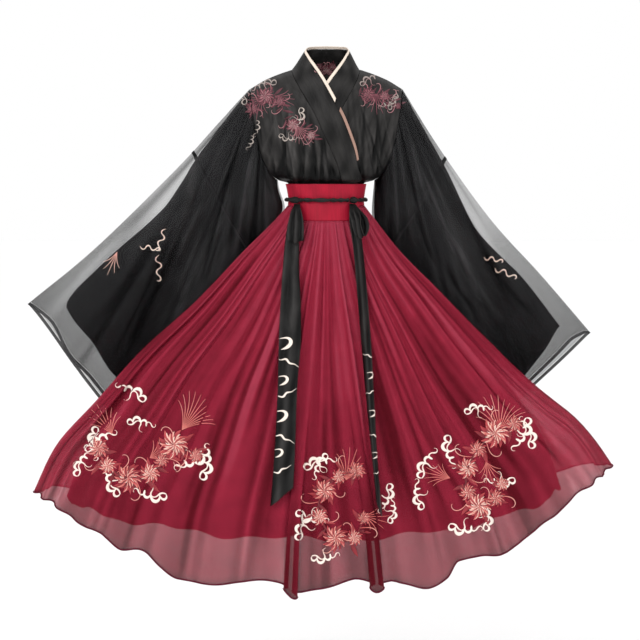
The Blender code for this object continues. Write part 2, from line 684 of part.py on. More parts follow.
def build_waistband(columns=BAND_COLUMNS):
    """Two steps down to the cord, where the band is pinched, and two on to its lower edge."""
    grid = []
    for start, end in ((0.0, 0.0), (0.0, 0.5), (0.0, 1.0), (0.5, 1.0), (1.0, 1.0)):
        row = []
        for j in range(columns):
            angle = 2.0 * math.pi * j / columns - math.pi
            bottom = skirt_top_z(angle) + SEAM * 2
            z = BAND_TOP_Z + (CORD_Z - BAND_TOP_Z) * end + (bottom - CORD_Z) * start
            row.append(band_point(angle, z))
        grid.append(row)
    wall("waistband", grid, BAND_CLOTH, "band_red", ring=True)


# ---- the tie -------------------------------------------------------------------------
def knot_angle(side):
    return math.asin(KNOT_X[side] / (read(BAND_SECTIONS, CORD_Z, 1) + CORD_RADIUS))


def build_cord():
    room = (KNOT_RADIUS + SEAM) / 0.092
    right, left = knot_angle("right"), knot_angle("left")
    spans = {
        "waist_cord_front": (right + room, left - room, 12),
        "waist_cord_back": (left + room, right + 2.0 * math.pi - room, 34),
    }
    for name, (start, end, steps) in spans.items():
        angles = [start + (end - start) * i / steps for i in range(steps + 1)]
        path = [band_point(a, CORD_Z, CORD_RADIUS + SEAM) for a in angles]
        tube(name, path, CORD_RADIUS, "black_silk")
    for side in ("right", "left"):
        shape = bmesh.new()
        bmesh.ops.create_icosphere(shape, subdivisions=2, radius=KNOT_RADIUS)
        mesh = bpy.data.meshes.new("knot_" + side)
        shape.to_mesh(mesh)
        shape.free()
        knot = bpy.data.objects.new("knot_" + side, mesh)
        bpy.context.scene.collection.objects.link(knot)
        knot.location = band_point(knot_angle(side), CORD_Z, KNOT_RADIUS * 1.02 + SEAM)
        knot.data.materials.append(material("black_silk"))


def build_streamers():
    for side, rows in STREAMERS.items():
        grid = []
        steps = 14
        for i in range(steps + 1):
            z = rows[0][0] + (rows[-1][0] - rows[0][0]) * i / steps
            first, second, fold = (read(rows, z, k) for k in (1, 2, 3))
            row = []
            for j in range(5):
                x = first + (second - first) * j / 4
                low = z + STREAMER_SLANT[side] * (0.5 - j / 4) * smooth(i / steps * 1.5 - 0.5)
                out = CLOTH * 2.2 + STREAMER_CLEAR * smooth((rows[0][0] - z) / 0.10)
                out += fold * math.sin(math.pi * j / 4)
                row.append((x, skirt_front_y(x, low) - out, low))
            grid.append(row)
        wall("streamer_" + side, grid, CLOTH, "black_silk")


def build_loops():
    for side, rows in LOOP_ROWS.items():
        keyed = [(i,) + row for i, row in enumerate(rows)]
        steps = 16
        centre = []
        for i in range(steps + 1):
            t = (len(rows) - 1) * i / steps
            x, out, z = (read(keyed, t, k) for k in (1, 2, 3))
            centre.append(np.array([x, skirt_front_y(KNOT_X[side], z) - out, z]))
        grid = []
        for i, place in enumerate(centre):
            spread = smooth(min(i, steps - i) / 5.0)
            width = LOOP_WIDTH[side] * (0.28 + 0.72 * spread)
            turn = LOOP_TURN[side][0] * (1 - spread) + LOOP_TURN[side][1] * spread
            across = np.array([math.cos(turn), math.sin(turn), 0.0])
            grid.append([place + across * width * (j / 3 - 0.5) for j in range(4)])
        wall("bow_loop_" + side, grid, CLOTH, "black_silk")


def main():
    for old in list(bpy.data.objects):
        bpy.data.objects.remove(old)
    build_back()
    build_front("jacket_front_over", "right")
    build_front("jacket_front_under", "left")
    build_collars()
    build_sleeves()
    build_waistband()
    build_skirt()
    build_cord()
    build_streamers()
    build_loops()


main()
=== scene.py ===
# %% [markdown]
# # Dressing a hanfu set
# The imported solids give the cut, the size and the place of every piece. This lesson lays
# finished cloth over each of them: satin for the jacket, sheer organza over black silk for
# the sleeves, gathered chiffon over a plain lining for the skirt, a twisted cord with its
# bow, and raised embroidery. Sizes are metres, the front faces -Y and "right" is the
# wearer's right, at -X.

# %% Load the frame
import math

import bpy
import numpy as np
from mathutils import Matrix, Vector
from mathutils.bvhtree import BVHTree


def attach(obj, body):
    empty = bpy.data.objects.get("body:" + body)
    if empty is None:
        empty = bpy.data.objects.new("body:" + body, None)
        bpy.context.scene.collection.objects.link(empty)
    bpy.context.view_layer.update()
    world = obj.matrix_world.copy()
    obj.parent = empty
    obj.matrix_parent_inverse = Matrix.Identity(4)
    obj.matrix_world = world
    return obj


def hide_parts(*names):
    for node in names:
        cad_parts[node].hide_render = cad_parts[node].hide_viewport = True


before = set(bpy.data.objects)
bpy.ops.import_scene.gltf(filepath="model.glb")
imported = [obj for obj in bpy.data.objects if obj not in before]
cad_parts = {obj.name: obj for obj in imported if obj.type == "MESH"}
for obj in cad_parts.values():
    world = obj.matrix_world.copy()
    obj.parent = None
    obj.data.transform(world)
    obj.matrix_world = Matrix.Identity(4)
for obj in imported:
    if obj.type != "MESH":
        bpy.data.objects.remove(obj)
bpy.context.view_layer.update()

# %% [markdown]
# ## The cut
# Cloth can only be finished well if its surface is known everywhere, not just at the
# corners of the solids. So the tables of the cut are kept here, and are read on the same
# smooth curves as the solids, but at many more places.

# %% Tables of the cut
CLOTH, SEAM, BIAS_SEAM = 0.0011, 0.00035, 0.0007  # a wall of the solids, gaps at its seams
WAIST_HEM_Z, BAND_TOP_Z, CORD_Z = -0.345, -0.263, -0.303
SKIRT_TOP_FRONT_Z, SKIRT_TOP_SIDE_Z = -0.355, -0.318
PLEATS, BAND_COLUMNS = 34, 68
PIPING_SHARE = 0.12  # of the collar's width
CREAM_PIPING_END, BEIGE_PIPING_END = 0.45, 0.70  # falls
UNDER_INSET = 0.0062  # how far the under front lies inside the over one
LEVEL_FALL, ARMHOLE_END = 0.73, 0.735  # falls where the shoulder's slope and the armhole end
KNOT_X = {"right": -0.0737, "left": 0.0652}
OUTWARD = {"right": -1.0, "left": 1.0}  # the way along x to each side of the set

BAND_SECTIONS = (
    # z,      half,   front,  back
    (-0.263, 0.1035, 0.0880, 0.0830),
    (-0.282, 0.1000, 0.0860, 0.0810),
    (-0.303, 0.0975, 0.0850, 0.0800),
    (-0.318, 0.0985, 0.0865, 0.0810),
    (-0.355, 0.1030, 0.0910, 0.0840),
)
SKIRT_SECTIONS = (
    # fall, right,  left,   front,  back,   wave
    (0.00, 0.0985, 0.0985, 0.0910, 0.0810, 0.0000),
    (0.05, 0.1300, 0.1230, 0.0990, 0.0900, 0.0022),
    (0.16, 0.2100, 0.1790, 0.1200, 0.1060, 0.0045),
    (0.33, 0.3320, 0.2900, 0.1600, 0.1280, 0.0065),
    (0.50, 0.4700, 0.4000, 0.2050, 0.1500, 0.0085),
    (0.68, 0.5880, 0.5280, 0.2520, 0.1740, 0.0105),
    (0.84, 0.6940, 0.6560, 0.2960, 0.1960, 0.0125),
    (1.00, 0.7550, 0.7400, 0.3250, 0.2130, 0.0150),
)
SKIRT_HEM_Z = {"front": -1.222, "back": -1.150, "right": -1.067, "left": -0.998}
LINING_SECTIONS = (
    # fall, right,  left,   front,  back,   wave
    (0.00, 0.0967, 0.0967, 0.0892, 0.0792, 0.0000),
    (0.05, 0.1240, 0.1170, 0.0930, 0.0840, 0.0010),
    (0.16, 0.1980, 0.1660, 0.1080, 0.0930, 0.0020),
    (0.33, 0.3160, 0.2700, 0.1380, 0.1060, 0.0030),
    (0.50, 0.4450, 0.3860, 0.1750, 0.1220, 0.0040),
    (0.68, 0.5520, 0.4970, 0.2140, 0.1410, 0.0050),
    (0.84, 0.6300, 0.5700, 0.2500, 0.1580, 0.0060),
    (1.00, 0.6750, 0.6120, 0.2740, 0.1700, 0.0070),
)
LINING_HEM_Z = {"front": -1.120, "back": -1.075, "right": -1.080, "left": -1.055}
HEM_FOLDS = (
    # angle, out, down
    (math.radians(-6.6), 0.006, 0.008),
    (math.radians(9.4), 0.006, 0.008),
)
BODY_SECTIONS = (
    # fall, half,   front,  back,   edge, power
    (0.00, 0.1930, 0.0000, 0.0000, 0.800, 2.4),
    (0.04, 0.1913, 0.0330, 0.0330, 0.800, 2.4),
    (0.09, 0.1893, 0.0520, 0.0530, 0.800, 2.4),
    (0.15, 0.1867, 0.0705, 0.0705, 0.815, 2.4),
    (0.24, 0.1825, 0.0870, 0.0845, 0.830, 2.4),
    (0.34, 0.1770, 0.0960, 0.0900, 0.850, 2.4),
    (0.45, 0.1700, 0.1010, 0.0920, 0.870, 2.4),
    (0.56, 0.1610, 0.1030, 0.0920, 0.900, 2.3),
    (0.64, 0.1500, 0.1025, 0.0920, 0.940, 2.2),
    (0.70, 0.1370, 0.1002, 0.0905, 0.975, 2.1),
    (0.735, 0.1220, 0.0965, 0.0880, 1.000, 2.0),
    (0.757, 0.0975, 0.0823, 0.0776, 1.000, 2.0),
    (0.80, 0.0935, 0.0807, 0.0764, 1.000, 2.0),
    (1.00, 0.0920, 0.0797, 0.0750, 1.000, 2.0),
)
SHOULDER_LINE = ((0.000, 0.040), (0.085, 0.025), (0.150, 0.002), (0.195, -0.024))
NECK_ROWS = {
    "right": (
        # seam x, y, z            edge x, y, z
        (-0.0003, 0.078, 0.032, -0.0003, 0.047, 0.0890),
        (-0.0300, 0.073, 0.0315, -0.0180, 0.0455, 0.0885),
        (-0.0560, 0.060, 0.030, -0.0340, 0.0380, 0.0870),
        (-0.0780, 0.034, 0.027, -0.0470, 0.0200, 0.0830),
    ),
    "left": (
        (0.0003, 0.078, 0.032, 0.0003, 0.047, 0.0890),
        (0.0290, 0.073, 0.0315, 0.0190, 0.0455, 0.0885),
        (0.0540, 0.060, 0.030, 0.0360, 0.0380, 0.0870),
        (0.0750, 0.034, 0.027, 0.0500, 0.0200, 0.0840),
    ),
}
COLLAR_ROWS = {
    "right": (
        # fall,  seam x,  edge x,  edge y,  edge z, stand
        (0.000, -0.0880, -0.0510, -0.0040, 0.0740, 1.0),
        (0.067, -0.0790, -0.0400, -0.0300, 0.0530, 1.0),
        (0.175, -0.0580, -0.0250, -0.0490, 0.0320, 1.0),
        (0.313, -0.0280, -0.0010, -0.0720, -0.0060, 0.8),
        (0.449, -0.0040, 0.0240, -0.0900, -0.0510, 0.2),
        (0.561, 0.0160, 0.0490, -0.0980, -0.1010, 0.0),
        (0.640, 0.0285, 0.0730, -0.0900, -0.1650, 0.0),
        (0.700, 0.0350, 0.0850, -0.0900, -0.2180, 0.0),
        (0.735, 0.0390, 0.0890, -0.0700, -0.2520, 0.0),
        (0.757, 0.0400, 0.0680, -0.0500, -0.2612, 0.0),
        (0.800, 0.0390, 0.0580, -0.0480, -0.2760, 0.0),
    ),
    "left": (
        (0.000, 0.0850, 0.0560, -0.0040, 0.0750, 1.0),
        (0.067, 0.0790, 0.0440, -0.0300, 0.0520, 1.0),
        (0.175, 0.0600, 0.0270, -0.0450, 0.0280, 1.0),
        (0.313, 0.0320, 0.0020, -0.0660, -0.0060, 0.8),
        (0.449, 0.0060, -0.0230, -0.0860, -0.0500, 0.2),
        (0.561, -0.0150, -0.0470, -0.0950, -0.1000, 0.0),
        (0.640, -0.0275, -0.0710, -0.0900, -0.1630, 0.0),
        (0.700, -0.0340, -0.0830, -0.0900, -0.2140, 0.0),
        (0.735, -0.0380, -0.0870, -0.0700, -0.2460, 0.0),
        (0.757, -0.0400, -0.0680, -0.0500, -0.2582, 0.0),
        (0.800, -0.0390, -0.0580, -0.0480, -0.2760, 0.0),
    ),
}
BODY_ROWS = tuple(row[0] for row in BODY_SECTIONS)
SLEEVES = {
    "right": (
        # along, top x, y, z               bottom x, y, z            depth
        (0.00, -0.1930, 0.000, -0.0230, -0.1230, 0.000, -0.2480, 0.1000),
        (0.08, -0.2400, 0.005, -0.0720, -0.1210, 0.035, -0.3250, 0.0980),
        (0.25, -0.3300, 0.015, -0.1680, -0.1650, 0.130, -0.4700, 0.0800),
        (0.50, -0.4780, 0.030, -0.3130, -0.2610, 0.185, -0.6780, 0.0600),
        (0.75, -0.6320, 0.045, -0.4540, -0.3750, 0.235, -0.8730, 0.0500),
        (1.00, -0.7900, 0.060, -0.5800, -0.5100, 0.265, -1.0680, 0.0460),
    ),
    "left": (
        (0.00, 0.1930, 0.000, -0.0230, 0.1230, 0.000, -0.2480, 0.1000),
        (0.08, 0.2250, 0.005, -0.0740, 0.1190, 0.035, -0.3250, 0.0980),
        (0.25, 0.3120, 0.015, -0.2040, 0.1500, 0.130, -0.4700, 0.0800),
        (0.50, 0.4340, 0.030, -0.3630, 0.2110, 0.185, -0.6780, 0.0600),
        (0.75, 0.5660, 0.045, -0.5030, 0.2850, 0.235, -0.8820, 0.0500),
        (1.00, 0.7020, 0.060, -0.6560, 0.3530, 0.265, -1.0890, 0.0460),
    ),
}
INNER_SLEEVE = (
    # along, top,  bottom, fullness
    (0.00, 0.010, 0.995, 0.950),
    (0.10, 0.024, 0.985, 0.74),
    (0.25, 0.046, 0.980, 0.68),
    (0.40, 0.095, 0.960, 0.64),
    (0.50, 0.120, 0.940, 0.60),
    (0.75, 0.100, 0.920, 0.56),
    (1.00, 0.107, 0.900, 0.56),
)
INNER_SLEEVE_END = {"right": 0.898, "left": 0.935}
INNER_CORNER = {"right": 0.035, "left": 0.0}
INNER_CUT = {"right": 0.0, "left": 0.032}
INNER_WAVE = {"right": 0.5, "left": 2.0}
CUFF_GAPS = {
    # drop, mm
    "right": ((0.00, 3.0), (0.14, 25.0), (0.30, 15.0), (0.46, 26.0), (0.75, 26.0), (1.00, 6.0)),
    "left": ((0.00, 8.0), (0.10, 28.0), (0.50, 27.0), (0.90, 20.0), (1.00, 8.0)),
}
STREAMERS = {
    "right": (
        # z,     right x, left x, fold
        (-0.3145, -0.0800, -0.0670, 0.001),
        (-0.345, -0.0930, -0.0660, 0.003),
        (-0.426, -0.1050, -0.0680, 0.003),
        (-0.618, -0.1160, -0.0620, 0.002),
        (-0.782, -0.1200, -0.0720, 0.004),
        (-0.921, -0.1280, -0.0760, 0.004),
        (-1.010, -0.1350, -0.0800, 0.003),
    ),
    "left": (
        (-0.3145, 0.0590, 0.0710, 0.001),
        (-0.345, 0.0580, 0.0800, 0.004),
        (-0.415, 0.0665, 0.0910, 0.008),
        (-0.640, 0.0850, 0.1095, 0.012),
        (-0.780, 0.0960, 0.1170, 0.014),
        (-0.900, 0.1070, 0.1230, 0.016),
        (-1.040, 0.1200, 0.1340, 0.016),
    ),
}
STREAMER_SLANT = {"right": -0.044, "left": 0.030}
STREAMER_CLEAR = 0.0160
LOOP_WIDTH = {"right": 0.040, "left": 0.034}
LOOP_TURN = {
    "right": (math.radians(-40.0), math.radians(-12.0)),
    "left": (math.radians(30.0), math.radians(-50.0)),
}
LOOP_ROWS = {
    "right": (
        # x,      out,    z
        (-0.0737, 0.0112, -0.3132),
        (-0.0742, 0.0290, -0.3270),
        (-0.0750, 0.0390, -0.3560),
        (-0.0760, 0.0400, -0.3880),
        (-0.0765, 0.0330, -0.4080),
        (-0.0760, 0.0260, -0.3980),
        (-0.0750, 0.0240, -0.3700),
        (-0.0742, 0.0190, -0.3400),
        (-0.0737, 0.0074, -0.3132),
    ),
    "left": (
        (0.0652, 0.0112, -0.3132),
        (0.0690, 0.0290, -0.3300),
        (0.0746, 0.0380, -0.3500),
        (0.0780, 0.0400, -0.3750),
        (0.0857, 0.0380, -0.3960),
        (0.0943, 0.0310, -0.3720),
        (0.0900, 0.0260, -0.3500),
        (0.0790, 0.0200, -0.3320),
        (0.0652, 0.0074, -0.3132),
    ),
}


# %% Read a table on a smooth curve
def smooth(t):
    """0 to 1 with flat ends."""
    t = np.clip(t, 0.0, 1.0)
    return t * t * (3.0 - 2.0 * t)


def read(rows, t, column):
    """A column of a table at t, its first column, on a curve that never overshoots."""
    keys = np.array([row[0] for row in rows], float)
    vals = np.array([row[column] for row in rows], float)
    t = np.asarray(t, float)
    if keys[0] > keys[-1]:
        keys, t = -keys, -t
    slopes = np.diff(vals) / np.diff(keys)
    before, after = slopes[:-1], slopes[1:]
    same_way = before * after > 0.0
    both = np.where(same_way, before + after, 1.0)
    middle = np.where(same_way, 2.0 * before * after / both, 0.0)
    tangents = np.concatenate([slopes[:1], middle, slopes[-1:]])
    i = np.clip(np.searchsorted(keys, t, side="right") - 1, 0, len(keys) - 2)
    step = keys[i + 1] - keys[i]
    u = np.clip((t - keys[i]) / step, 0.0, 1.0)
    return (
        vals[i] * (1 + 2 * u) * (1 - u) ** 2
        + tangents[i] * step * u * (1 - u) ** 2
        + vals[i + 1] * u * u * (3 - 2 * u)
        + tangents[i + 1] * step * u * u * (u - 1)
    )


def joined(*parts):
    """x, y and z arrays as one array of points."""
    return np.stack(np.broadcast_arrays(*parts), axis=-1)


def round_angles(count):
    """Even angles once round, from 0."""
    return 2.0 * math.pi * np.arange(count) / count


def running(steps):
    """How far along each point is, from the lengths of the steps between the points."""
    return np.concatenate([[0.0], np.cumsum(steps)])


# %% Surfaces of the skirt and the waistband
def band_point(angle, z, out=0.0):
    depth = np.where(np.cos(angle) > 0, read(BAND_SECTIONS, z, 2), read(BAND_SECTIONS, z, 3))
    half = read(BAND_SECTIONS, z, 1) + out
    return joined(half * np.sin(angle), -(depth + out) * np.cos(angle), z)


def skirt_top_z(angle):
    step = 2.0 * math.pi / BAND_COLUMNS
    first = np.floor(angle / step) * step
    share = (angle - first) / step
    dips = [smooth((np.cos(a) - 0.50) / 0.32) for a in (first, first + step)]
    dip = dips[0] * (1 - share) + dips[1] * share
    return SKIRT_TOP_SIDE_Z + (SKIRT_TOP_FRONT_Z - SKIRT_TOP_SIDE_Z) * dip


def hem_z(angle, heights):
    lean = smooth((np.sin(angle) + 1.0) / 2.0)
    side = heights["right"] * (1 - lean) + heights["left"] * lean
    middle = np.where(np.cos(angle) > 0, heights["front"], heights["back"])
    share = np.cos(angle) ** 2
    return side * (1 - share) + middle * share


def skirt_point(angle, fall, sections, heights, folds=()):
    front = np.cos(angle) > 0
    half = np.where(np.sin(angle) < 0, read(sections, fall, 1), read(sections, fall, 2))
    depth = np.where(front, read(sections, fall, 3), read(sections, fall, 4))
    top, bottom = skirt_top_z(angle), hem_z(angle, heights)
    tied = 1.0 - smooth(fall / 0.08)
    half = half + tied * (read(BAND_SECTIONS, top, 1) - SKIRT_SECTIONS[0][1])
    first = np.where(front, SKIRT_SECTIONS[0][3], SKIRT_SECTIONS[0][4])
    ring = np.where(front, read(BAND_SECTIONS, top, 2), read(BAND_SECTIONS, top, 3))
    depth = depth + tied * (ring - first)
    x, y, z = half * np.sin(angle), -depth * np.cos(angle), top + (bottom - top) * fall
    nx, ny = np.sin(angle) / half, -np.cos(angle) / depth
    size = np.hypot(nx, ny)
    uneven = 0.72 + 0.28 * np.sin(3.0 * angle + 0.8) * np.cos(5.0 * angle)
    melted = 1.0 - 0.5 * smooth((fall - 0.5) / 0.5)
    push = read(sections, fall, 5) * uneven * melted * np.cos(PLEATS * angle)
    for centre, reach, drop in folds:
        share = np.exp(-(((angle - centre) / 0.05) ** 2)) * fall ** 3
        push = push + reach * share
        z = z - drop * share
    return joined(x + nx / size * push, y + ny / size * push, z)


def skirt_front_y(x, z):
    x, z = np.broadcast_arrays(np.asarray(x, float), np.asarray(z, float))
    angle = np.zeros(x.shape)
    for _ in range(12):
        top = skirt_top_z(angle)
        fall = np.clip((top - z) / (top - hem_z(angle, SKIRT_HEM_Z)), 0.0, 1.0)
        tied = 1.0 - smooth(fall / 0.08)
        half = np.where(x < 0, read(SKIRT_SECTIONS, fall, 1), read(SKIRT_SECTIONS, fall, 2))
        level = np.maximum(z, top)
        half = half + tied * (read(BAND_SECTIONS, level, 1) - SKIRT_SECTIONS[0][1])
        angle = np.arcsin(np.clip(x / half, -0.98, 0.98))
    depth = read(SKIRT_SECTIONS, fall, 3)
    depth = depth + tied * (read(BAND_SECTIONS, level, 2) - SKIRT_SECTIONS[0][3])
    return -depth * np.cos(angle)


# %% Surfaces of the jacket
def shoulder_z(x):
    return read(SHOULDER_LINE, np.abs(x), 1)


def body_z(top, fall):
    slope = np.maximum(0.0, 1.0 - fall / LEVEL_FALL) ** 1.3
    return WAIST_HEM_Z * fall + top * slope


def under_inset(across, fall):
    spread = smooth((1.0 - across) / 0.45) * smooth(fall / 0.25)
    held = smooth((fall - 0.735) / 0.03)
    return UNDER_INSET * spread * (1.0 - 0.52 * held)


def body_point(across, fall, back=False, under=False):
    across, fall = np.broadcast_arrays(np.asarray(across, float), np.asarray(fall, float))
    inset = under_inset(across, fall) if under else 0.0
    half = read(BODY_SECTIONS, fall, 1) - inset
    depth = np.where(back, read(BODY_SECTIONS, fall, 3), read(BODY_SECTIONS, fall, 2))
    depth = np.maximum(0.0, depth - inset)
    edge, power = read(BODY_SECTIONS, fall, 4), read(BODY_SECTIONS, fall, 5)
    z = body_z(shoulder_z(BODY_SECTIONS[0][1] * across), fall)
    z = z + inset * (smooth((fall - 0.60) / 0.10) - smooth((fall - 0.76) / 0.06))
    y = depth * np.sqrt(np.maximum(0.0, 1.0 - np.abs(across * edge) ** power))
    y = y + SEAM * (1.0 + 1.5 * smooth((fall - 0.70) / 0.03))
    return joined(half * across, np.where(back, y, -y), z)


def body_place(x, z, under=False):
    x, z = np.broadcast_arrays(np.asarray(x, float), np.asarray(z, float))
    low, high = np.zeros(x.shape), np.ones(x.shape)
    for _ in range(30):
        fall = (low + high) / 2.0
        half = read(BODY_SECTIONS, fall, 1)
        if under:
            half = half - under_inset(x / half, fall)
        across = np.clip(x / half, -1.0, 1.0)
        above = body_point(across, fall, under=under)[..., 2] > z
        low, high = np.where(above, fall, low), np.where(above, high, fall)
    return body_point(across, fall, under=under)


def collar_point(side, fall, share):
    rows = COLLAR_ROWS[side]
    across = read(rows, fall, 1) / read(BODY_SECTIONS, fall, 1)
    seam = body_point(across, fall, under=side == "left")
    edge = joined(*(read(rows, fall, k) for k in (2, 3, 4)))
    share = np.asarray(share, float)[..., None]
    free = seam * (1 - share) + edge * share
    stand = read(rows, fall, 5)
    lying = body_place(free[..., 0], free[..., 2], under=side == "left")
    y = free[..., 1] * stand + lying[..., 1] * (1 - stand)
    return joined(free[..., 0], np.where(stand > 0.999, free[..., 1], y), free[..., 2])


# %% Surfaces of the sleeves
def drop_of(turn):
    """How far down a turn round the sleeve lies: 0 at the upper edge, 1 at the lower."""
    return (1.0 - np.cos(turn)) / 2.0


def cuff_scale(side):
    """How many metres one whole step along the sleeve stands for, near the cuff."""
    last, before = SLEEVES[side][-1], SLEEVES[side][-2]
    return math.dist(last[1:4], before[1:4]) / (last[0] - before[0])


def sleeve_lens(rows, along, drop, turn, fullness):
    top = joined(*(read(rows, along, k) for k in (1, 2, 3)))
    bottom = joined(*(read(rows, along, k) for k in (4, 5, 6)))
    chord = bottom - top
    lean = chord[..., 1:2] / (chord ** 2).sum(-1, keepdims=True)
    out = np.array([0.0, -1.0, 0.0]) + chord * lean
    out /= np.linalg.norm(out, axis=-1, keepdims=True)
    reach = read(rows, along, 7) / 2.0 * np.sin(turn) * fullness
    return top + chord * drop[..., None] + out * reach[..., None]


def sleeve_fold(place):
    reach_x, reach_z = np.abs(place[..., 0]) - 0.17, -0.01 - place[..., 2]
    heading = np.arctan2(reach_z, np.maximum(1e-4, reach_x))
    far = smooth(np.hypot(reach_x, reach_z) / 0.5)
    return 0.009 * far * np.sin(17.0 * heading + 0.6)


def sleeve_point(side, along, turn, first=0.0, last=1.0, fullness=1.0):
    along, turn = np.broadcast_arrays(np.asarray(along, float), np.asarray(turn, float))
    rows = SLEEVES[side]
    drop = first + (last - first) * drop_of(turn)
    hole = body_point(OUTWARD[side], drop * ARMHOLE_END)
    hole[..., 0] += OUTWARD[side] * (CLOTH + SEAM)
    rim = body_point(OUTWARD[side], drop_of(turn) * ARMHOLE_END, np.sin(turn) < 0)
    hole[..., 1] = rim[..., 1] * fullness
    start = sleeve_lens(rows, np.zeros(along.shape), drop, turn, fullness)
    place = sleeve_lens(rows, along, drop, turn, fullness)
    place = place + (hole - start) * (1.0 - smooth(along / 0.40))[..., None]
    place[..., 1] += sleeve_fold(place) * smooth(along / 0.35)
    return place


def outer_sleeve_point(side, along, turn):
    """The sheer sleeve. Its front wall ends a little short of its back wall, as a cuff
    hangs whose hem is caught up, so its mouth shows."""
    gap = read(CUFF_GAPS[side], drop_of(turn), 1) / 1000.0 / cuff_scale(side)
    front = smooth(np.sin(turn) / 0.30) * smooth((along - 0.55) / 0.35)
    return sleeve_point(side, along - gap * front, turn)


def inner_sleeve_point(side, along, turn):
    """Its upper edge bulges towards the cuff, one corner is cut round, the other is cut
    back, and its free edge waves a little."""
    first, last, fullness = (read(INNER_SLEEVE, along, k) for k in (1, 2, 3))
    drop = drop_of(turn)
    rounding = np.maximum(0.0, along - 0.88) / 0.12
    first = first + INNER_CORNER[side] * (1.0 - np.sqrt(np.maximum(0.0, 1.0 - rounding ** 2)))
    first = first - 0.012 * smooth((along - 0.5) / 0.3)
    wave = 0.005 * np.sin(15.0 * drop + INNER_WAVE[side]) * smooth((along - 0.8) / 0.2)
    cut = INNER_CUT[side] * np.exp(-(drop / 0.12) ** 2) * smooth((along - 0.6) / 0.4)
    reached = along * INNER_SLEEVE_END[side] + wave - cut
    return sleeve_point(side, reached, turn, first, last, fullness)


# %% [markdown]
# ## The camera
# It stands in front of the set, a little above the hem and tilted down slightly. Its place
# is needed early, because embroidery and creases are drawn in its view and then laid onto
# the cloth, as a stencil is held up in front of a garment.

# %% Camera, and where a point falls in its view
CAMERA_PLACE = np.array((-0.0156, -3.2, -0.25))
CAMERA_PITCH = math.radians(6.5)
VIEW_SIDE, FOCAL_PIXELS, SENSOR_MM = 640.0, 1239.0, 36.0
FORWARD = np.array((0.0, math.cos(CAMERA_PITCH), -math.sin(CAMERA_PITCH)))
UPWARD = np.array((0.0, math.sin(CAMERA_PITCH), math.cos(CAMERA_PITCH)))

camera_data = bpy.data.cameras.new("camera")
camera_data.sensor_width = SENSOR_MM
camera_data.lens = FOCAL_PIXELS * SENSOR_MM / VIEW_SIDE
camera_data.clip_end = 60.0
camera = bpy.data.objects.new("camera", camera_data)
camera.location = CAMERA_PLACE
camera.rotation_euler = (math.pi / 2.0 - CAMERA_PITCH, 0.0, 0.0)
bpy.context.scene.collection.objects.link(camera)
bpy.context.scene.camera = camera
print("lens %.1f mm" % camera_data.lens)


def in_view(points):
    """Where points fall in the camera's view, in pixels from its top left corner."""
    away = points - CAMERA_PLACE
    ahead = away @ FORWARD
    side, up = away[..., 0] / ahead, (away @ UPWARD) / ahead
    return VIEW_SIDE / 2 + FOCAL_PIXELS * side, VIEW_SIDE / 2 - FOCAL_PIXELS * up


def creases(points, rows):
    """How far soft troughs drawn in the view push cloth in: each row is its two ends, how
    far it bows sideways, its half width in pixels and its depth in millimetres."""
    x, y = in_view(points)
    push = np.zeros(x.shape)
    for x0, y0, x1, y1, bow, width, depth in rows:
        length = math.hypot(x1 - x0, y1 - y0)
        ux, uy = (x1 - x0) / length, (y1 - y0) / length
        along = ((x - x0) * ux + (y - y0) * uy) / length
        off = (y - y0) * ux - (x - x0) * uy - bow * 4.0 * along * (1.0 - along)
        ends = smooth(along / 0.3) * smooth((1.0 - along) / 0.3)
        push += depth / 1000.0 * ends * np.exp(-((off / width) ** 2))
    return push


# %% [markdown]
# ## Sheets
# Real cloth is thin, so each sheet is one layer of quads over the known surface, and a
# Solidify modifier gives it its thickness inwards. Its UV map is in metres along and
# across the cloth, which lets a weave follow the threads. A shade for each point is kept
# as the fold attribute: it paints shade into folds and creases and light onto ridges.

# %% Lay a sheet over a grid of points
SKIRT_THICK, SLEEVE_THICK, STRIP_THICK, RIBBON_THICK = 0.0006, 0.0005, 0.0004, 0.0008
BODY_THICK, COLLAR_THICK, PIPING_THICK, BAND_THICK = 0.0009, 0.0014, 0.0016, 0.0024
PLAIN_FOLD, TUBE_FOLD = 0.5, 0.3  # where cloth without folds stands between valley and ridge


def grid_normals(grid, ring=False, flip=False):
    down = np.gradient(grid, axis=0)
    if ring:
        wrapped = np.concatenate([grid[:, -1:], grid, grid[:, :1]], axis=1)
        across = (wrapped[:, 2:] - wrapped[:, :-2]) / 2.0
    else:
        across = np.gradient(grid, axis=1)
    normal = np.cross(down, across) * (-1.0 if flip else 1.0)
    return normal / np.maximum(np.linalg.norm(normal, axis=2, keepdims=True), 1e-12)


def closed(grid, ring):
    """A ring's grid with its first column once more at its end."""
    return np.concatenate([grid, grid[:, :1]], axis=1) if ring else grid


def mark(mesh, name, values):
    """Keeps one number for each point, for the finish to read."""
    data = mesh.attributes.new(name, "FLOAT", "POINT").data
    data.foreach_set("value", np.asarray(values, np.float32))


def add_piece(name, mesh, finish, node=None):
    """A smooth piece that rides on the set's one body. Where it stands for a node of the
    solids, that node is hidden."""
    mesh.polygons.foreach_set("use_smooth", [True] * len(mesh.polygons))
    mesh.materials.append(finish)
    piece = bpy.data.objects.new(name, mesh)
    bpy.context.scene.collection.objects.link(piece)
    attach(piece, "root")
    if node:
        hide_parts(node)
    return piece


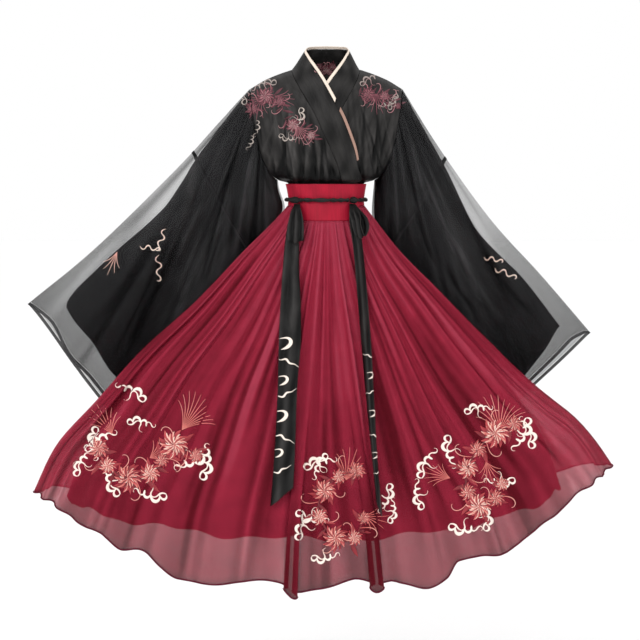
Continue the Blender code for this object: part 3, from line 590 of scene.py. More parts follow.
def lay_sheet(name, grid, finish, node, thick, ring=False, flip=False, fold=PLAIN_FOLD):
    rows, cols = grid.shape[:2]
    i, j = np.meshgrid(np.arange(rows - 1), np.arange(cols if ring else cols - 1), indexing="ij")
    k = (j + 1) % cols
    corners = (i * cols + j, (i + 1) * cols + j, (i + 1) * cols + k, i * cols + k)
    quads = np.stack(corners[::-1] if flip else corners, axis=-1).reshape(-1, 4)
    mesh = bpy.data.meshes.new(name)
    mesh.from_pydata(grid.reshape(-1, 3).tolist(), [], quads.tolist())

    u = running(np.linalg.norm(np.diff(closed(grid, ring), axis=1), axis=2).mean(axis=0))
    v = running(np.linalg.norm(np.diff(grid, axis=0), axis=2).mean(axis=1))
    spots = [(u[j], v[i]), (u[j], v[i + 1]), (u[j + 1], v[i + 1]), (u[j + 1], v[i])]
    spots = np.stack([np.stack(s, axis=-1) for s in (spots[::-1] if flip else spots)], axis=2)
    mesh.uv_layers.new(name="weave").data.foreach_set("uv", spots.reshape(-1))
    mark(mesh, "fold", np.broadcast_to(np.clip(fold, 0.0, 1.0), (rows, cols)).reshape(-1))

    sheet = add_piece(name, mesh, finish, node)
    wall = sheet.modifiers.new("thickness", "SOLIDIFY")
    wall.thickness = thick
    wall.offset = -1.0


def cloth_area(grid, ring=False):
    """The area of one layer, in square metres."""
    ends = closed(grid, ring)
    one, two = ends[1:, 1:] - ends[:-1, :-1], ends[1:, :-1] - ends[:-1, 1:]
    return float(np.linalg.norm(np.cross(one, two), axis=2).sum() / 2.0)


# %% Single pleats and creases that were never measured one by one
def fold_lines(across, along, count, span, widths, seed, lean=0.035, starts=(-0.35, 0.55)):
    """How deep each point lies in many single folds that run along a cloth. Each has its
    own place, length, width and strength, as folds that cloth finds for itself do."""
    draw = np.random.default_rng(seed)
    depth = np.zeros(np.broadcast_shapes(across.shape, along.shape))
    for _ in range(count):
        centre, start = draw.uniform(*span), draw.uniform(*starts)
        reach, width = draw.uniform(0.35, 0.95), draw.uniform(*widths)
        strength, slant = draw.uniform(0.35, 1.0), draw.normal(0.0, lean)
        off = (across - centre - slant * along + math.pi) % (2.0 * math.pi) - math.pi
        share = (along - start) / reach
        window = smooth(share / 0.25) * smooth((1.0 - share) / 0.35)
        depth += strength * window * np.exp(-((off / width) ** 2))
    return depth


# %% [markdown]
# ## Finishes
# Every cloth here is woven, so one helper makes them all: a warp and a weft as two crossed
# bands of bump, uneven yarn as long thin streaks, and a ridge and a valley colour that the
# fold attribute mixes, which paints light onto ridges and shade into folds and creases.
# Black satin is a long-float silk weave, so it has the strongest sheen. Organza and
# chiffon are open weaves: the gaps between their threads let light through, which is their
# alpha. The threads are really 0.1 to 0.3 mm apart. They are drawn at 1.5 mm and more,
# because anything finer would be lost in the render.

# %% Colours and nodes
def linear(hex_colour):
    """An sRGB hex colour as the linear numbers that a shader takes."""
    values = [int(hex_colour[i:i + 2], 16) / 255.0 for i in (1, 3, 5)]
    light = [v / 12.92 if v <= 0.04045 else ((v + 0.055) / 1.055) ** 2.4 for v in values]
    return (*light, 1.0)


def add_node(tree, kind, inputs=None, **settings):
    """Adds a node, sets what it is told, and links the inputs that are given as sockets."""
    made = tree.nodes.new(kind)
    for key, value in settings.items():
        setattr(made, key, value)
    for key, value in (inputs or {}).items():
        if isinstance(value, bpy.types.NodeSocket):
            tree.links.new(value, made.inputs[key])
        else:
            made.inputs[key].default_value = value
    return made


def new_material(name):
    made = bpy.data.materials.new(name)
    made.use_nodes = True
    made.node_tree.nodes.clear()
    return made, made.node_tree


# %% One helper for woven cloth
WAVE_PERIOD = 0.314  # a Wave texture of scale 1 repeats every 0.314 m


def woven(name, ridge, valley, thread, roughness, sheen=0.0, gloss=0.2, see_through=0.0,
          yarn=0.10, mottle=0.12, relief=0.25, crumple=0.0, sheen_crest=None, veil=0.0):
    """Woven cloth: thread is the drawn spacing in metres, see_through is the share of
    light that passes between the threads of one whole layer, which has two sides, and
    crumple is how strongly small soft creases show, as bump and as painted shade in the
    colour. The fold attribute mixes the valley and ridge colours, painted shade in folds and
    painted light on ridges. The highest folds take the crest colour, a paler painted sheen,
    and veil is how much denser a sheer cloth looks in a fold than on a ridge."""
    made, tree = new_material(name)
    place = add_node(tree, "ShaderNodeUVMap", uv_map="weave").outputs["UV"]
    fold = add_node(tree, "ShaderNodeAttribute", attribute_name="fold").outputs["Fac"]
    # Painted shade in folds and painted light on ridges, mixed into the cloth's colour
    dye_and_fold_shade = add_node(tree, "ShaderNodeMix", {0: fold, 6: linear(valley), 7: linear(ridge)},
                   data_type="RGBA")
    # The highest folds are painted paler, a painted sheen
    if sheen_crest:
        high = add_node(tree, "ShaderNodeMapRange", {"Value": fold, "From Min": 0.6})
        dye_and_fold_shade = add_node(tree, "ShaderNodeMix", {0: high.outputs[0], 6: dye_and_fold_shade.outputs[2],
                                               7: linear(sheen_crest)}, data_type="RGBA")
    stretched = add_node(tree, "ShaderNodeMapping", {"Vector": place, "Scale": (420.0, 22.0, 1.0)})
    slubs = add_node(tree, "ShaderNodeTexNoise", {"Vector": stretched.outputs[0], "Scale": 1.0,
                                                  "Detail": 2.0})
    clouds = add_node(tree, "ShaderNodeTexNoise", {"Vector": place, "Scale": 26.0, "Detail": 3.0})
    # The rumple noise shows small soft creases as bump, and as painted shade in the colour
    drape = add_node(tree, "ShaderNodeMapping", {"Vector": place, "Scale": (34.0, 11.0, 1.0)})
    rumple = add_node(tree, "ShaderNodeTexNoise", {"Vector": drape.outputs[0], "Scale": 1.0,
                                                   "Detail": 4.0, "Distortion": 0.35})
    noises = (
        # noise, the part of its range that is spread, how strongly it shows
        (slubs, 0.3, 0.7, yarn),
        (clouds, 0.3, 0.7, mottle),
        (rumple, 0.36, 0.64, crumple),
    )
    uneven = 1.0
    for noise, low, high, strength in noises:
        spread = add_node(tree, "ShaderNodeMapRange", {
            "Value": noise.outputs["Fac"], "From Min": low, "From Max": high,
            "To Min": 1.0 - strength, "To Max": 1.0 + strength,
        })
        uneven = add_node(tree, "ShaderNodeMath", {0: uneven, 1: spread.outputs[0]},
                          operation="MULTIPLY").outputs[0]
    colour = add_node(tree, "ShaderNodeVectorMath", {0: dye_and_fold_shade.outputs[2], "Scale": uneven},
                      operation="SCALE")
    bands = [add_node(tree, "ShaderNodeTexWave", {"Vector": place, "Scale": WAVE_PERIOD / thread},
                      bands_direction=way).outputs["Fac"] for way in ("X", "Y")]
    crossed = add_node(tree, "ShaderNodeMath", {0: bands[0], 1: bands[1]}, operation="MULTIPLY")
    soft = add_node(tree, "ShaderNodeBump", {"Height": rumple.outputs["Fac"], "Strength": 1.0,
                                             "Distance": 0.02 * crumple})
    bump = add_node(tree, "ShaderNodeBump", {"Height": crossed.outputs[0], "Strength": relief,
                                             "Distance": thread * 0.25, "Normal": soft.outputs[0]})
    shine = add_node(tree, "ShaderNodeMapRange", {"Value": slubs.outputs["Fac"],
                                                  "To Min": roughness - 0.08,
                                                  "To Max": roughness + 0.08})
    one_side = 1.0 - math.sqrt(see_through)
    shader = add_node(tree, "ShaderNodeBsdfPrincipled", {
        "Base Color": colour.outputs[0],
        "Roughness": shine.outputs[0],
        "Normal": bump.outputs[0],
        "Specular IOR Level": gloss,
        "Sheen Weight": sheen,
        "Sheen Roughness": 0.4,
        "Alpha": one_side,
    })
    if veil:
        dense = add_node(tree, "ShaderNodeMapRange", {"Value": fold, "To Min": one_side + veil,
                                                      "To Max": one_side - veil})
        tree.links.new(dense.outputs[0], shader.inputs["Alpha"])
    add_node(tree, "ShaderNodeOutputMaterial", {"Surface": shader.outputs[0]})
    return made


# %% The cloths of the set
BLACK_SATIN = woven("black silk satin", "#3f3d3c", "#050505", 0.0016, 0.50, gloss=0.12,
                    mottle=0.22, relief=0.10, crumple=0.30)
BLACK_SILK = woven("black plain silk", "#403f40", "#030304", 0.0018, 0.60, gloss=0.12,
                   mottle=0.15, relief=0.08, crumple=0.22)
BLACK_ORGANZA = woven("black silk organza", "#343435", "#060607", 0.0022, 0.60, gloss=0.12,
                      see_through=0.52, yarn=0.12, mottle=0.2, relief=0.08, crumple=0.15, veil=0.14)
BLACK_BINDING = woven("folded organza binding", "#4a4a4b", "#222224", 0.0016, 0.60, gloss=0.15,
                      see_through=0.06, relief=0.08)
CREAM_PIPING = woven("cream satin piping", "#efe3d6", "#cdb9a8", 0.0015, 0.45, gloss=0.3, mottle=0.05)
ROSE_PIPING = woven("rose-beige satin piping", "#a98778", "#8a6a5e", 0.0015, 0.45, gloss=0.3)
BAND_SATIN = woven("crimson waistband satin", "#a9132e", "#810d24", 0.0018, 0.52, sheen=0.05,
                   gloss=0.16, mottle=0.06, crumple=0.08)
CHIFFON = woven("crimson silk chiffon", "#b02e47", "#570716", 0.0024, 0.70, gloss=0.08,
                see_through=0.105, yarn=0.06, mottle=0.08, relief=0.05, crumple=0.03,
                sheen_crest="#a94659", veil=0.10)
CHIFFON_HEM = woven("rolled chiffon hem", "#6c1730", "#48101f", 0.0016, 0.65, gloss=0.1)
LINING = woven("deep red lining silk", "#b0183a", "#6f0a1e", 0.0020, 0.65, gloss=0.10, mottle=0.06,
               relief=0.08)


# %% [markdown]
# ## The skirt
# The skirt is two layers gathered into one band. The gathers are a wave that the solids
# already have; the finer pleats between them are drawn closer together, and uneven, by
# bending the angle that they are counted on. They start sharp under the waistband and
# melt into broad soft folds at the hem. The outer layer is see-through, so the hem of the
# lining shows inside it.

# %% Pleats
FINE, MIDDLING = (118, 0.10), (57, 0.16)  # pleats once round, and how uneven they are
LINING_WAVE = 0.006  # how far the hem of the lining rises and falls
SKIRT_CREASE = 0.0028  # how deep a single crease of the over-skirt is


def pleats(angle, count, unevenness):
    """-1 to 1: sharp ridges and narrow valleys, at uneven distances."""
    bent = angle + unevenness * (
        0.35 * np.sin(9.0 * angle + 0.4)
        + 0.25 * np.sin(17.0 * angle + 2.1)
        + 0.2 * np.sin(29.0 * angle)
    )
    wave = np.cos(count * bent)
    return np.sign(wave) * np.abs(wave) ** 0.75


FINE_PLEATS = (
    # fall, fine mm, middling mm, broad mm
    (0.00, 0.15, 0.1, 0.0),
    (0.03, 0.15, 0.5, 0.0),
    (0.12, 0.25, 1.3, 0.5),
    (0.30, 0.60, 2.2, 2.0),
    (0.50, 0.90, 2.8, 4.5),
    (0.75, 0.40, 1.8, 6.5),
    (1.00, 0.20, 1.0, 8.0),
)
PIPE_FOLD = (
    # place on the cloth, place it is drawn to, stands out: shares of its half width and depth
    (-3.2, -3.20, 0.00),
    (-1.8, -0.25, 0.10),
    (-1.0, -0.90, 0.55),
    (0.0, 0.00, 1.00),
    (1.0, 0.90, 0.55),
    (1.8, 0.25, 0.10),
    (3.2, 3.20, 0.00),
)
PIPE_FOLDS = (
    # angle, half width, depth, drop
    (math.radians(-6.6), 0.025, 0.026, 0.020),
    (math.radians(9.4), 0.022, 0.026, 0.022),
)
HEM_LINE = (
    # x in the view, mm lower at the hem
    (30, 0), (56, -22), (96, -16), (120, 2), (140, -10), (158, 8), (178, 30), (208, 22), (240, 6),
    (262, -10), (280, -14), (300, 8), (322, 0), (344, -14), (362, -20), (390, -12), (404, 8),
    (428, 30), (446, 16), (457, -16), (480, -12), (506, 12), (530, -6), (552, -12), (572, -32),
    (594, -24), (612, 0),
)
DOUBLED = (
    # x in the view, how much denser the cloth is where it is folded over itself
    (0, 0.0), (283, 0.0), (285, 0.30), (296, 0.25), (299, 0.0), (307, 0.02), (309, 0.28), (329, 0.22),
    (332, 0.0), (366, 0.0), (368, 0.30), (380, 0.30), (383, 0.0), (640, 0.0),
)


def pleat_push(angle, fall, scale):
    fine, middling, broad = (read(FINE_PLEATS, fall, k) / 1000.0 for k in (1, 2, 3))
    return scale * (
        fine * pleats(angle, *FINE)
        + middling * pleats(angle, *MIDDLING)
        + broad * np.sin(13.0 * angle + 1.1 + 0.7 * np.sin(4.0 * angle))
    )


def pipe_folds(angle, fall):
    """How far round the cloth is drawn, how far it stands out and how far it drops where
    it hangs in deep round folds, whose mouths nearly close behind them."""
    drawn, out, drop = np.zeros((3,) + np.broadcast_shapes(angle.shape, fall.shape))
    formed = smooth((fall - 0.42) / 0.42)
    for centre, half, depth, lower in PIPE_FOLDS:
        place = np.clip((angle - centre) / half, PIPE_FOLD[0][0], PIPE_FOLD[-1][0])
        drawn = drawn + formed * half * (read(PIPE_FOLD, place, 1) - place)
        out = out + formed * depth * read(PIPE_FOLD, place, 2)
        drop = drop + lower * fall ** 4 * read(PIPE_FOLD, place, 2)
    return drawn, out, drop


def bare_side(grid):
    """1 beyond the sides of the lining, where two sheer walls hang with nothing between."""
    drop = (SKIRT_TOP_SIDE_Z - grid[..., 2]) / (SKIRT_TOP_SIDE_Z - LINING_HEM_Z["left"])
    right, left = (read(LINING_SECTIONS, np.clip(drop, 0.0, 1.0), k) for k in (1, 2))
    beyond = np.abs(grid[..., 0]) - np.where(grid[..., 0] < 0.0, right, left)
    return smooth(beyond / 0.010) * smooth((drop - 0.45) / 0.2)


def skirt_grid(columns, rows, sections, heights, folds, scale, seed):
    angle = (round_angles(columns) - math.pi)[None, :]
    fall = (np.linspace(0.0, 1.0, rows) ** 1.25)[:, None]
    grid = skirt_point(angle, fall, sections, heights, folds)
    out = grid_normals(grid, ring=True)
    pipes, bare, doubled = 0.0, 0.0, 0.0
    if folds:
        drawn, pipes, drop = pipe_folds(angle, fall)
        grid = skirt_point(angle + drawn, fall, sections, heights, folds)
        facing = smooth(np.cos(angle) / 0.2)
        grid[..., 2] -= drop + facing * fall ** 4 * read(HEM_LINE, in_view(grid)[0], 1) / 1000.0
        bare = bare_side(grid)
        doubled = facing * smooth((fall - 0.6) / 0.3) * read(DOUBLED, in_view(grid)[0], 1)
    else:
        wave = np.sin(13.0 * angle) + 0.6 * np.sin(31.0 * angle + 1.0)
        grid[..., 2] -= LINING_WAVE * fall ** 8 * wave
    whole, widths = (-math.pi, math.pi), (0.010, 0.026)
    lines = fold_lines(angle, fall, 190, whole, widths, seed)
    lines = lines - 0.6 * fold_lines(angle, fall, 90, whole, widths, seed + 1)
    held = 0.25 + 0.75 * smooth(fall / 0.40)
    push = pleat_push(angle, fall, scale) - scale * SKIRT_CREASE * held * lines
    # The fold attribute paints the skirt's light and shade: paler near the waist and darker towards
    # the hem, painted shade in the pleats' valleys and the creases, painted light on their ridges.
    # Beyond the sides of the lining it is painted lighter, as glow from light behind the sheer walls,
    # which also lets more through; where the cloth is doubled it is darker and denser.
    shown = (0.35 + 0.65 * smooth(fall / 0.30)) * (1.0 - 0.9 * smooth(fall / 0.60))
    small, medium = pleats(angle, *FINE) * shown, pleats(angle, *MIDDLING)
    fold = 0.74 - 0.44 * fall + 0.09 * small + 0.11 * medium
    fold = fold - held * (0.30 + 0.30 * fall) * lines
    fold = np.minimum(fold, 0.93 - 0.32 * fall) + 0.3 * bare - doubled
    return grid + out * (push + pipes)[..., None], fold


# %% Over-skirt and lining
over_grid, over_fold = skirt_grid(1080, 42, SKIRT_SECTIONS, SKIRT_HEM_Z, HEM_FOLDS, 1.0, 7)
lay_sheet("skirt_over_chiffon", over_grid, CHIFFON, "skirt_over", SKIRT_THICK,
          ring=True, fold=over_fold)
lining_grid, lining_fold = skirt_grid(480, 40, LINING_SECTIONS, LINING_HEM_Z, (), 0.55, 11)
lay_sheet("skirt_lining_silk", lining_grid, LINING, "skirt_lining", SKIRT_THICK,
          ring=True, fold=lining_fold)
print("over-skirt %.2f m2" % cloth_area(over_grid, True))
print("lining %.2f m2" % cloth_area(lining_grid, True))

# %% [markdown]
# The outer hem is finished by hand: its edge is rolled over a thread and whipped down, so
# it reads as a thin, darker cord that follows every fold.

# %% A tube that follows a closed line of points
def tube_grid(path, radius, sides):
    """Rings of points round a path that ends where it starts."""
    ahead = np.roll(path, -1, axis=0) - np.roll(path, 1, axis=0)
    ahead /= np.linalg.norm(ahead, axis=1, keepdims=True)
    side = np.cross(ahead, (0.0, 0.0, 1.0))
    side /= np.maximum(np.linalg.norm(side, axis=1, keepdims=True), 1e-9)
    over = np.cross(side, ahead)
    turn = round_angles(sides)
    return (
        path[:, None]
        + side[:, None] * (np.cos(turn) * radius)[..., None]
        + over[:, None] * (np.sin(turn) * radius)[..., None]
    )


def lay_tube(name, grid, finish, node=None, ends=True):
    """A closed tube: its rings joined side to side, with capped or joined ends."""
    rings, sides = grid.shape[:2]
    quads = []
    for i in range(rings - 1 if ends else rings):
        n = (i + 1) % rings
        for j in range(sides):
            k = (j + 1) % sides
            quads.append((i * sides + j, i * sides + k, n * sides + k, n * sides + j))
    if ends:
        quads.append(tuple(range(sides)))
        quads.append(tuple(range(rings * sides - 1, (rings - 1) * sides - 1, -1)))
    mesh = bpy.data.meshes.new(name)
    mesh.from_pydata(grid.reshape(-1, 3).tolist(), [], quads)
    length = running(np.linalg.norm(np.diff(grid[:, 0], axis=0), axis=1))
    girth = np.linalg.norm(np.diff(grid[0], axis=0), axis=1).mean()
    layer = mesh.uv_layers.new(name="weave").data
    for face in mesh.polygons:
        for corner in face.loop_indices:
            ring, spot = divmod(mesh.loops[corner].vertex_index, sides)
            layer[corner].uv = (spot * girth, length[ring])
    mark(mesh, "fold", [TUBE_FOLD] * len(mesh.vertices))
    add_piece(name, mesh, finish, node)


# %% Rolled hem of the over-skirt
HEM_ROLL_RADIUS = 0.0021
hem_rings = tube_grid(over_grid[-1], HEM_ROLL_RADIUS, 6)
lay_tube("skirt_hem_roll", hem_rings, CHIFFON_HEM, ends=False)
print("hem roll of %d rings" % len(hem_rings))

# %% [markdown]
# ## The waistband
# A doubled strip of satin over a stiffener. Where the cord draws it in, small creases run
# up and down from the cord.

# %% Waistband
def band_grid(columns, rows):
    angle = (round_angles(columns) - math.pi)[None, :]
    share = np.linspace(0.0, 1.0, rows)[:, None]
    bottom = skirt_top_z(angle) + SEAM * 2.0
    upper = BAND_TOP_Z + (CORD_Z - BAND_TOP_Z) * np.clip(share * 2.0, 0.0, 1.0)
    z = upper + (bottom - CORD_Z) * np.clip(share * 2.0 - 1.0, 0.0, 1.0)
    near_cord = np.exp(-(((z - CORD_Z) / 0.014) ** 2))
    pucker = -0.0009 * near_cord * (0.5 + 0.5 * np.sin(61.0 * angle + 3.0 * np.sin(5.0 * angle)))
    ripple = 0.0007 * np.sin(9.0 * angle + 40.0 * z) * smooth((z - CORD_Z) / 0.012)
    grid = band_point(angle, z)
    # The puckers and ripples are painted darker in their hollows and lighter on their rises
    fold = 0.6 + 250.0 * (pucker + ripple)
    return grid + grid_normals(grid, ring=True) * (pucker + ripple)[..., None], fold


waist_grid, waist_fold = band_grid(220, 34)
lay_sheet("waistband_satin", waist_grid, BAND_SATIN, "waistband", BAND_THICK,
          ring=True, fold=waist_fold)
print("waistband %.3f m2" % cloth_area(waist_grid, True))

# %% [markdown]
# ## The jacket
# The body is satin, cut full and tucked into the band, so it blouses over it in small
# gathers. Long soft creases hang from the shoulders and from the crossing. They are drawn
# in the camera's view and pushed into front and back alike, because cloth that hangs from
# the same shoulder creases on both sides.

# %% Creases and gathers of the body
BODY_CREASES = (
    # x0,  y0,  x1,  y1, bow, half width, depth mm
    (258, 112, 264, 186, 2.0, 2.6, 5.0),
    (270, 118, 276, 186, 1.5, 2.2, 3.0),
    (282, 128, 285, 184, -1.0, 2.4, 3.2),
    (291, 138, 296, 186, 0.5, 1.8, -1.6),
    (298, 132, 304, 186, 1.0, 2.2, 2.6),
    (306, 128, 318, 186, 1.5, 2.6, 2.4),
    (312, 120, 330, 184, 2.0, 2.4, -1.8),
    (318, 132, 340, 186, 2.0, 2.4, 2.6),
    (300, 100, 336, 160, 3.0, 3.0, 1.8),
    (338, 140, 352, 186, 1.0, 2.0, 2.0),
    (381, 114, 368, 176, -2.0, 2.6, 5.0),
    (374, 112, 366, 150, -1.0, 2.0, -1.8),
    (388, 112, 377, 178, -2.0, 2.4, 3.2),
    (362, 150, 358, 186, 0.5, 1.8, 2.2),
)
GATHERS = (
    # fall, height mm
    (0.40, 0.0), (0.58, 1.6), (0.69, 3.0), (0.735, 2.6), (0.757, 1.0), (0.80, 0.3), (1.0, 0.2),
)
BODY_CREASE = 0.0016  # how deep a single crease of the body is


def body_folds(grid, fall, phase):
    """Gathers above the band, and the drawn creases. Inside the band they only go in. It
    gives how far the cloth is pushed out, and how light each point looks."""
    x = grid[..., 0]
    wave = np.sin(160.0 * x + 14.0 * np.sin(21.0 * x + phase) * 0.35 + phase)
    tucked = smooth((fall - 0.70) / 0.04)
    gather = read(GATHERS, fall, 1) / 1000.0 * (wave - tucked)
    trough = creases(grid, BODY_CREASES)
    rising = (0.76 - fall) / 0.76
    seed = 31 + int(10 * phase)
    span, widths = (-0.20, 0.20), (0.0018, 0.0045)
    lines = fold_lines(x, rising, 60, span, widths, seed, 0.05, (-0.25, 0.25))
    lines = lines - 0.8 * fold_lines(x, rising, 40, span, widths, seed + 1, 0.05, (-0.25, 0.3))
    edge = smooth((1.0 - np.abs(x) / read(BODY_SECTIONS, fall, 1)) / 0.07)
    push = (gather - (trough + BODY_CREASE * lines) * (1.0 - 0.85 * tucked)) * edge
    # Painted light on the gathers' rises, painted shade in their hollows, the drawn creases and the
    # troughs, and painted shade low on the blouse, where it turns under into the band
    under = smooth((fall - 0.60) / 0.12)
    light = 0.42 + 0.16 * gather / 0.003 - 0.30 * lines - 90.0 * trough - 0.40 * under
    return push, light


def even_rows(count):
    """Falls that keep the solids' own rows and add more between them."""
    return np.interp(np.linspace(0, len(BODY_ROWS) - 1, count), range(len(BODY_ROWS)), BODY_ROWS)


# %% Back panel
NECK_END, YOKE_FALL = 0.089, 0.18  # half the neckline, and the fall where its shape ends


def neck_top(x):
    """The back neckline, where the back panel meets the collar band."""
    y, z = np.zeros(x.shape), np.zeros(x.shape)
    for side, here in (("right", x < 0), ("left", x >= 0)):
        edge = [(abs(row[0]), row[1], row[2]) for row in NECK_ROWS[side]]
        edge.append((NECK_END, 0.0, float(shoulder_z(NECK_END))))
        y[here], z[here] = read(edge, abs(x[here]), 1), read(edge, abs(x[here]), 2)
    return y, z


def back_grid(columns, rows):
    across, fall = np.linspace(-1.0, 1.0, columns)[None, :], even_rows(rows)[:, None]
    place = body_point(across, fall, back=True)
    start = body_point(across, 0.0, back=True)
    inside = 1.0 - smooth((np.abs(start[..., 0]) - 0.074) / 0.026)
    y, z = neck_top(start[..., 0])
    foot = body_point(across, YOKE_FALL, back=True)
    share = np.clip(fall / YOKE_FALL, 0.0, 1.0)[..., None]
    level = joined(start[..., 0], y + SEAM, z + 0.0015) * (1.0 - share) + foot * share
    inside = (inside * (fall < YOKE_FALL))[..., None]
    return place * (1.0 - inside) + level * inside, np.broadcast_to(fall, place.shape[:2])


back_cut, back_fall = back_grid(120, 100)
back_push, back_light = body_folds(back_cut, back_fall, 1.3)
back_push *= smooth(back_fall / 0.25)
back_sheet = back_cut + grid_normals(back_cut, flip=True) * back_push[..., None]
lay_sheet("jacket_back_satin", back_sheet, BLACK_SATIN, "jacket_back", BODY_THICK,
          flip=True, fold=back_light)
print("back %.3f m2" % cloth_area(back_sheet))


# %% Fronts
def front_grid(side, columns, rows):
    fall = even_rows(rows)[:, None]
    seam = read(COLLAR_ROWS[side], fall, 1) + OUTWARD[side] * BIAS_SEAM
    inner = seam / read(BODY_SECTIONS, fall, 1)
    across = inner + (OUTWARD[side] - inner) * np.linspace(0.0, 1.0, columns)[None, :]
    place = body_point(across, fall, under=side == "left")
    return place, np.broadcast_to(fall, place.shape[:2])


FRONT_COLUMNS = 90
for side, layer, held in (("right", "over", 1.0), ("left", "under", 0.25)):
    front_cut, front_fall = front_grid(side, FRONT_COLUMNS, 100)
    across_seam = np.linspace(0.0, 1.0, FRONT_COLUMNS)[None, :]
    held = held + (1.0 - held) * smooth((across_seam - 0.45) / 0.3)
    front_push, front_light = body_folds(front_cut, front_fall, 0.2)
    front_push *= smooth(front_fall / 0.2) * held * smooth(across_seam / 0.06 + 0.2)
    turned = side == "right"
    front_sheet = front_cut + grid_normals(front_cut, flip=turned) * front_push[..., None]
    lay_sheet("jacket_front_%s_satin" % layer, front_sheet, BLACK_SATIN,
              "jacket_front_" + layer, BODY_THICK, flip=turned, fold=front_light)
    print(layer, "front %.3f m2" % cloth_area(front_sheet))

# %% [markdown]
# ## Collar and pipings
# The band is folded double and stands at the neck, then lies down on the front. A cream
# piping runs all along the upper free edge, and a muted one carries on below it.

# %% Collar bands and pipings
def collar_cut(side, first, last, columns):
    """The solids' own rows, from the centre back round the neck and down the front."""
    rows = []
    for row in NECK_ROWS[side]:
        shares = np.linspace(first(-1.0), last(-1.0), columns)[:, None]
        rows.append(np.array(row[:3]) * (1 - shares) + np.array(row[3:]) * shares)
    rows[0][:, 0] = 0.0
    for fall in BODY_ROWS[:-1]:
        rows.append(collar_point(side, fall, np.linspace(first(fall), last(fall), columns)))
    return np.array(rows)


def finer(grid, rows):
    """More rows on a smooth curve through the given ones."""
    spot = np.linspace(0.0, len(grid) - 1.0, rows)
    i = np.clip(spot.astype(int), 0, len(grid) - 2)
    t = (spot - i)[:, None, None]
    p1, p2 = grid[i], grid[i + 1]
    p0 = grid[np.maximum(i - 1, 0)]
    p3 = grid[np.minimum(i + 2, len(grid) - 1)]
    m1, m2 = (p2 - p0) / 2.0, (p3 - p1) / 2.0
    return (
        (2 * t ** 3 - 3 * t ** 2 + 1) * p1 + (t ** 3 - 2 * t ** 2 + t) * m1
        + (3 * t ** 2 - 2 * t ** 3) * p2 + (t ** 3 - t ** 2) * m2
    )


def band_share(side):
    end = BEIGE_PIPING_END if side == "right" else CREAM_PIPING_END
    return lambda fall: 1.0 - PIPING_SHARE if fall <= end else 1.0


NECK_COUNT = len(NECK_ROWS["right"])
COLLAR_LENGTHS, COLLAR_COLUMNS = 150, 14
PIPING_CROWN = 0.0007  # how far the middle of a piping stands out
cream_rows = NECK_COUNT + BODY_ROWS.index(CREAM_PIPING_END) + 1
for side, layer in (("right", "over"), ("left", "under")):
    turned = side == "left"
    band = collar_cut(side, lambda fall: 0.0, band_share(side), COLLAR_COLUMNS)
    band = finer(band, COLLAR_LENGTHS)
    lengthways = 0.0006 * np.sin(np.linspace(0, 46, COLLAR_LENGTHS))[:, None]
    ripple = lengthways * np.sin(np.linspace(0.4, 5.0, COLLAR_COLUMNS))[None, :]
    band = band + grid_normals(band, flip=turned) * ripple[..., None]
    # The ripple is painted lighter on its rises and darker in its hollows, on a dark base tone
    lay_sheet("collar_%s_satin" % layer, band, BLACK_SATIN, "collar_" + layer,
              COLLAR_THICK, flip=turned, fold=0.29 + 300.0 * ripple)
    edge = collar_cut(side, lambda fall: 1.008 - PIPING_SHARE, lambda fall: 1.0, 5)
    pipings = [("collar_piping_%s" % layer, edge[:cream_rows], CREAM_PIPING, "cream", 110)]
    if side == "right":
        last = NECK_COUNT + BODY_ROWS.index(BEIGE_PIPING_END)
        start = edge[cream_rows - 1] * 0.55 + edge[cream_rows] * 0.45
        end = edge[last - 1] * 0.3 + edge[last] * 0.7
        rose = np.array([start, *edge[cream_rows:last], end])
        pipings.append(("front_edge_piping", rose, ROSE_PIPING, "beige", 40))
    for name, strip, finish, slot, rows in pipings:
        strip = finer(strip, rows)
        crown = PIPING_CROWN * np.sin(np.linspace(0.0, math.pi, strip.shape[1]))[None, :, None]
        strip = strip + grid_normals(strip, flip=turned) * crown
        lay_sheet(name + "_satin", strip, finish, name, PIPING_THICK, flip=turned)

# %% [markdown]
# ## The sleeves
# Each sleeve is two tubes: black silk inside, and longer, wider sheer organza outside.
# Where only organza hangs, two layers of it show grey against the light. A folded band of
# the same organza finishes the cuff, and a seam crosses the sleeve where two widths meet.

# %% Sleeve folds
SLEEVE_CREASES = (
    # x0,  y0,  x1,  y1, bow, half width, depth mm
    (243, 132, 199, 294, 2.0, 1.7, 7.0),
    (226, 218, 204, 292, 1.0, 1.5, 6.0),
    (234, 170, 212, 250, 1.0, 3.0, -3.5),
    (199, 160, 188, 200, 1.0, 3.5, -4.5),
    (205, 200, 176, 262, 2.0, 3.5, -4.0),
    (252, 150, 243, 215, 1.0, 4.0, -4.5),
    (258, 120, 262, 186, 2.0, 1.8, 5.0),
    (262, 150, 275, 200, 3.0, 1.7, 5.0),
    (236, 196, 232, 250, 1.0, 2.2, 4.0),
    (216, 150, 190, 215, 1.0, 2.2, 3.5),
    (180, 215, 140, 300, -2.0, 3.0, 3.0),
    (160, 230, 96, 330, -2.0, 4.5, 3.0),
    (385, 112, 372, 178, -2.0, 2.0, 6.0),
    (397, 108, 418, 212, 2.0, 2.0, 5.0),
    (409, 130, 428, 212, 1.5, 2.6, -5.0),
    (412, 198, 436, 270, 2.0, 2.0, 5.5),
    (425, 170, 478, 282, 5.0, 3.0, -5.0),
    (444, 262, 475, 314, 2.0, 2.2, 5.0),
    (456, 246, 504, 326, 2.0, 3.5, -4.0),
    (390, 130, 392, 200, 1.0, 1.8, 4.0),
    (378, 150, 384, 222, 1.0, 1.8, 4.0),
    (470, 240, 540, 325, 3.0, 3.0, 3.0),
)
SLEEVE_CREASE = 0.0018  # how deep a single crease of a sleeve is
CUFF_WIDTH, WAIST_FOLD = 0.010, 0.014
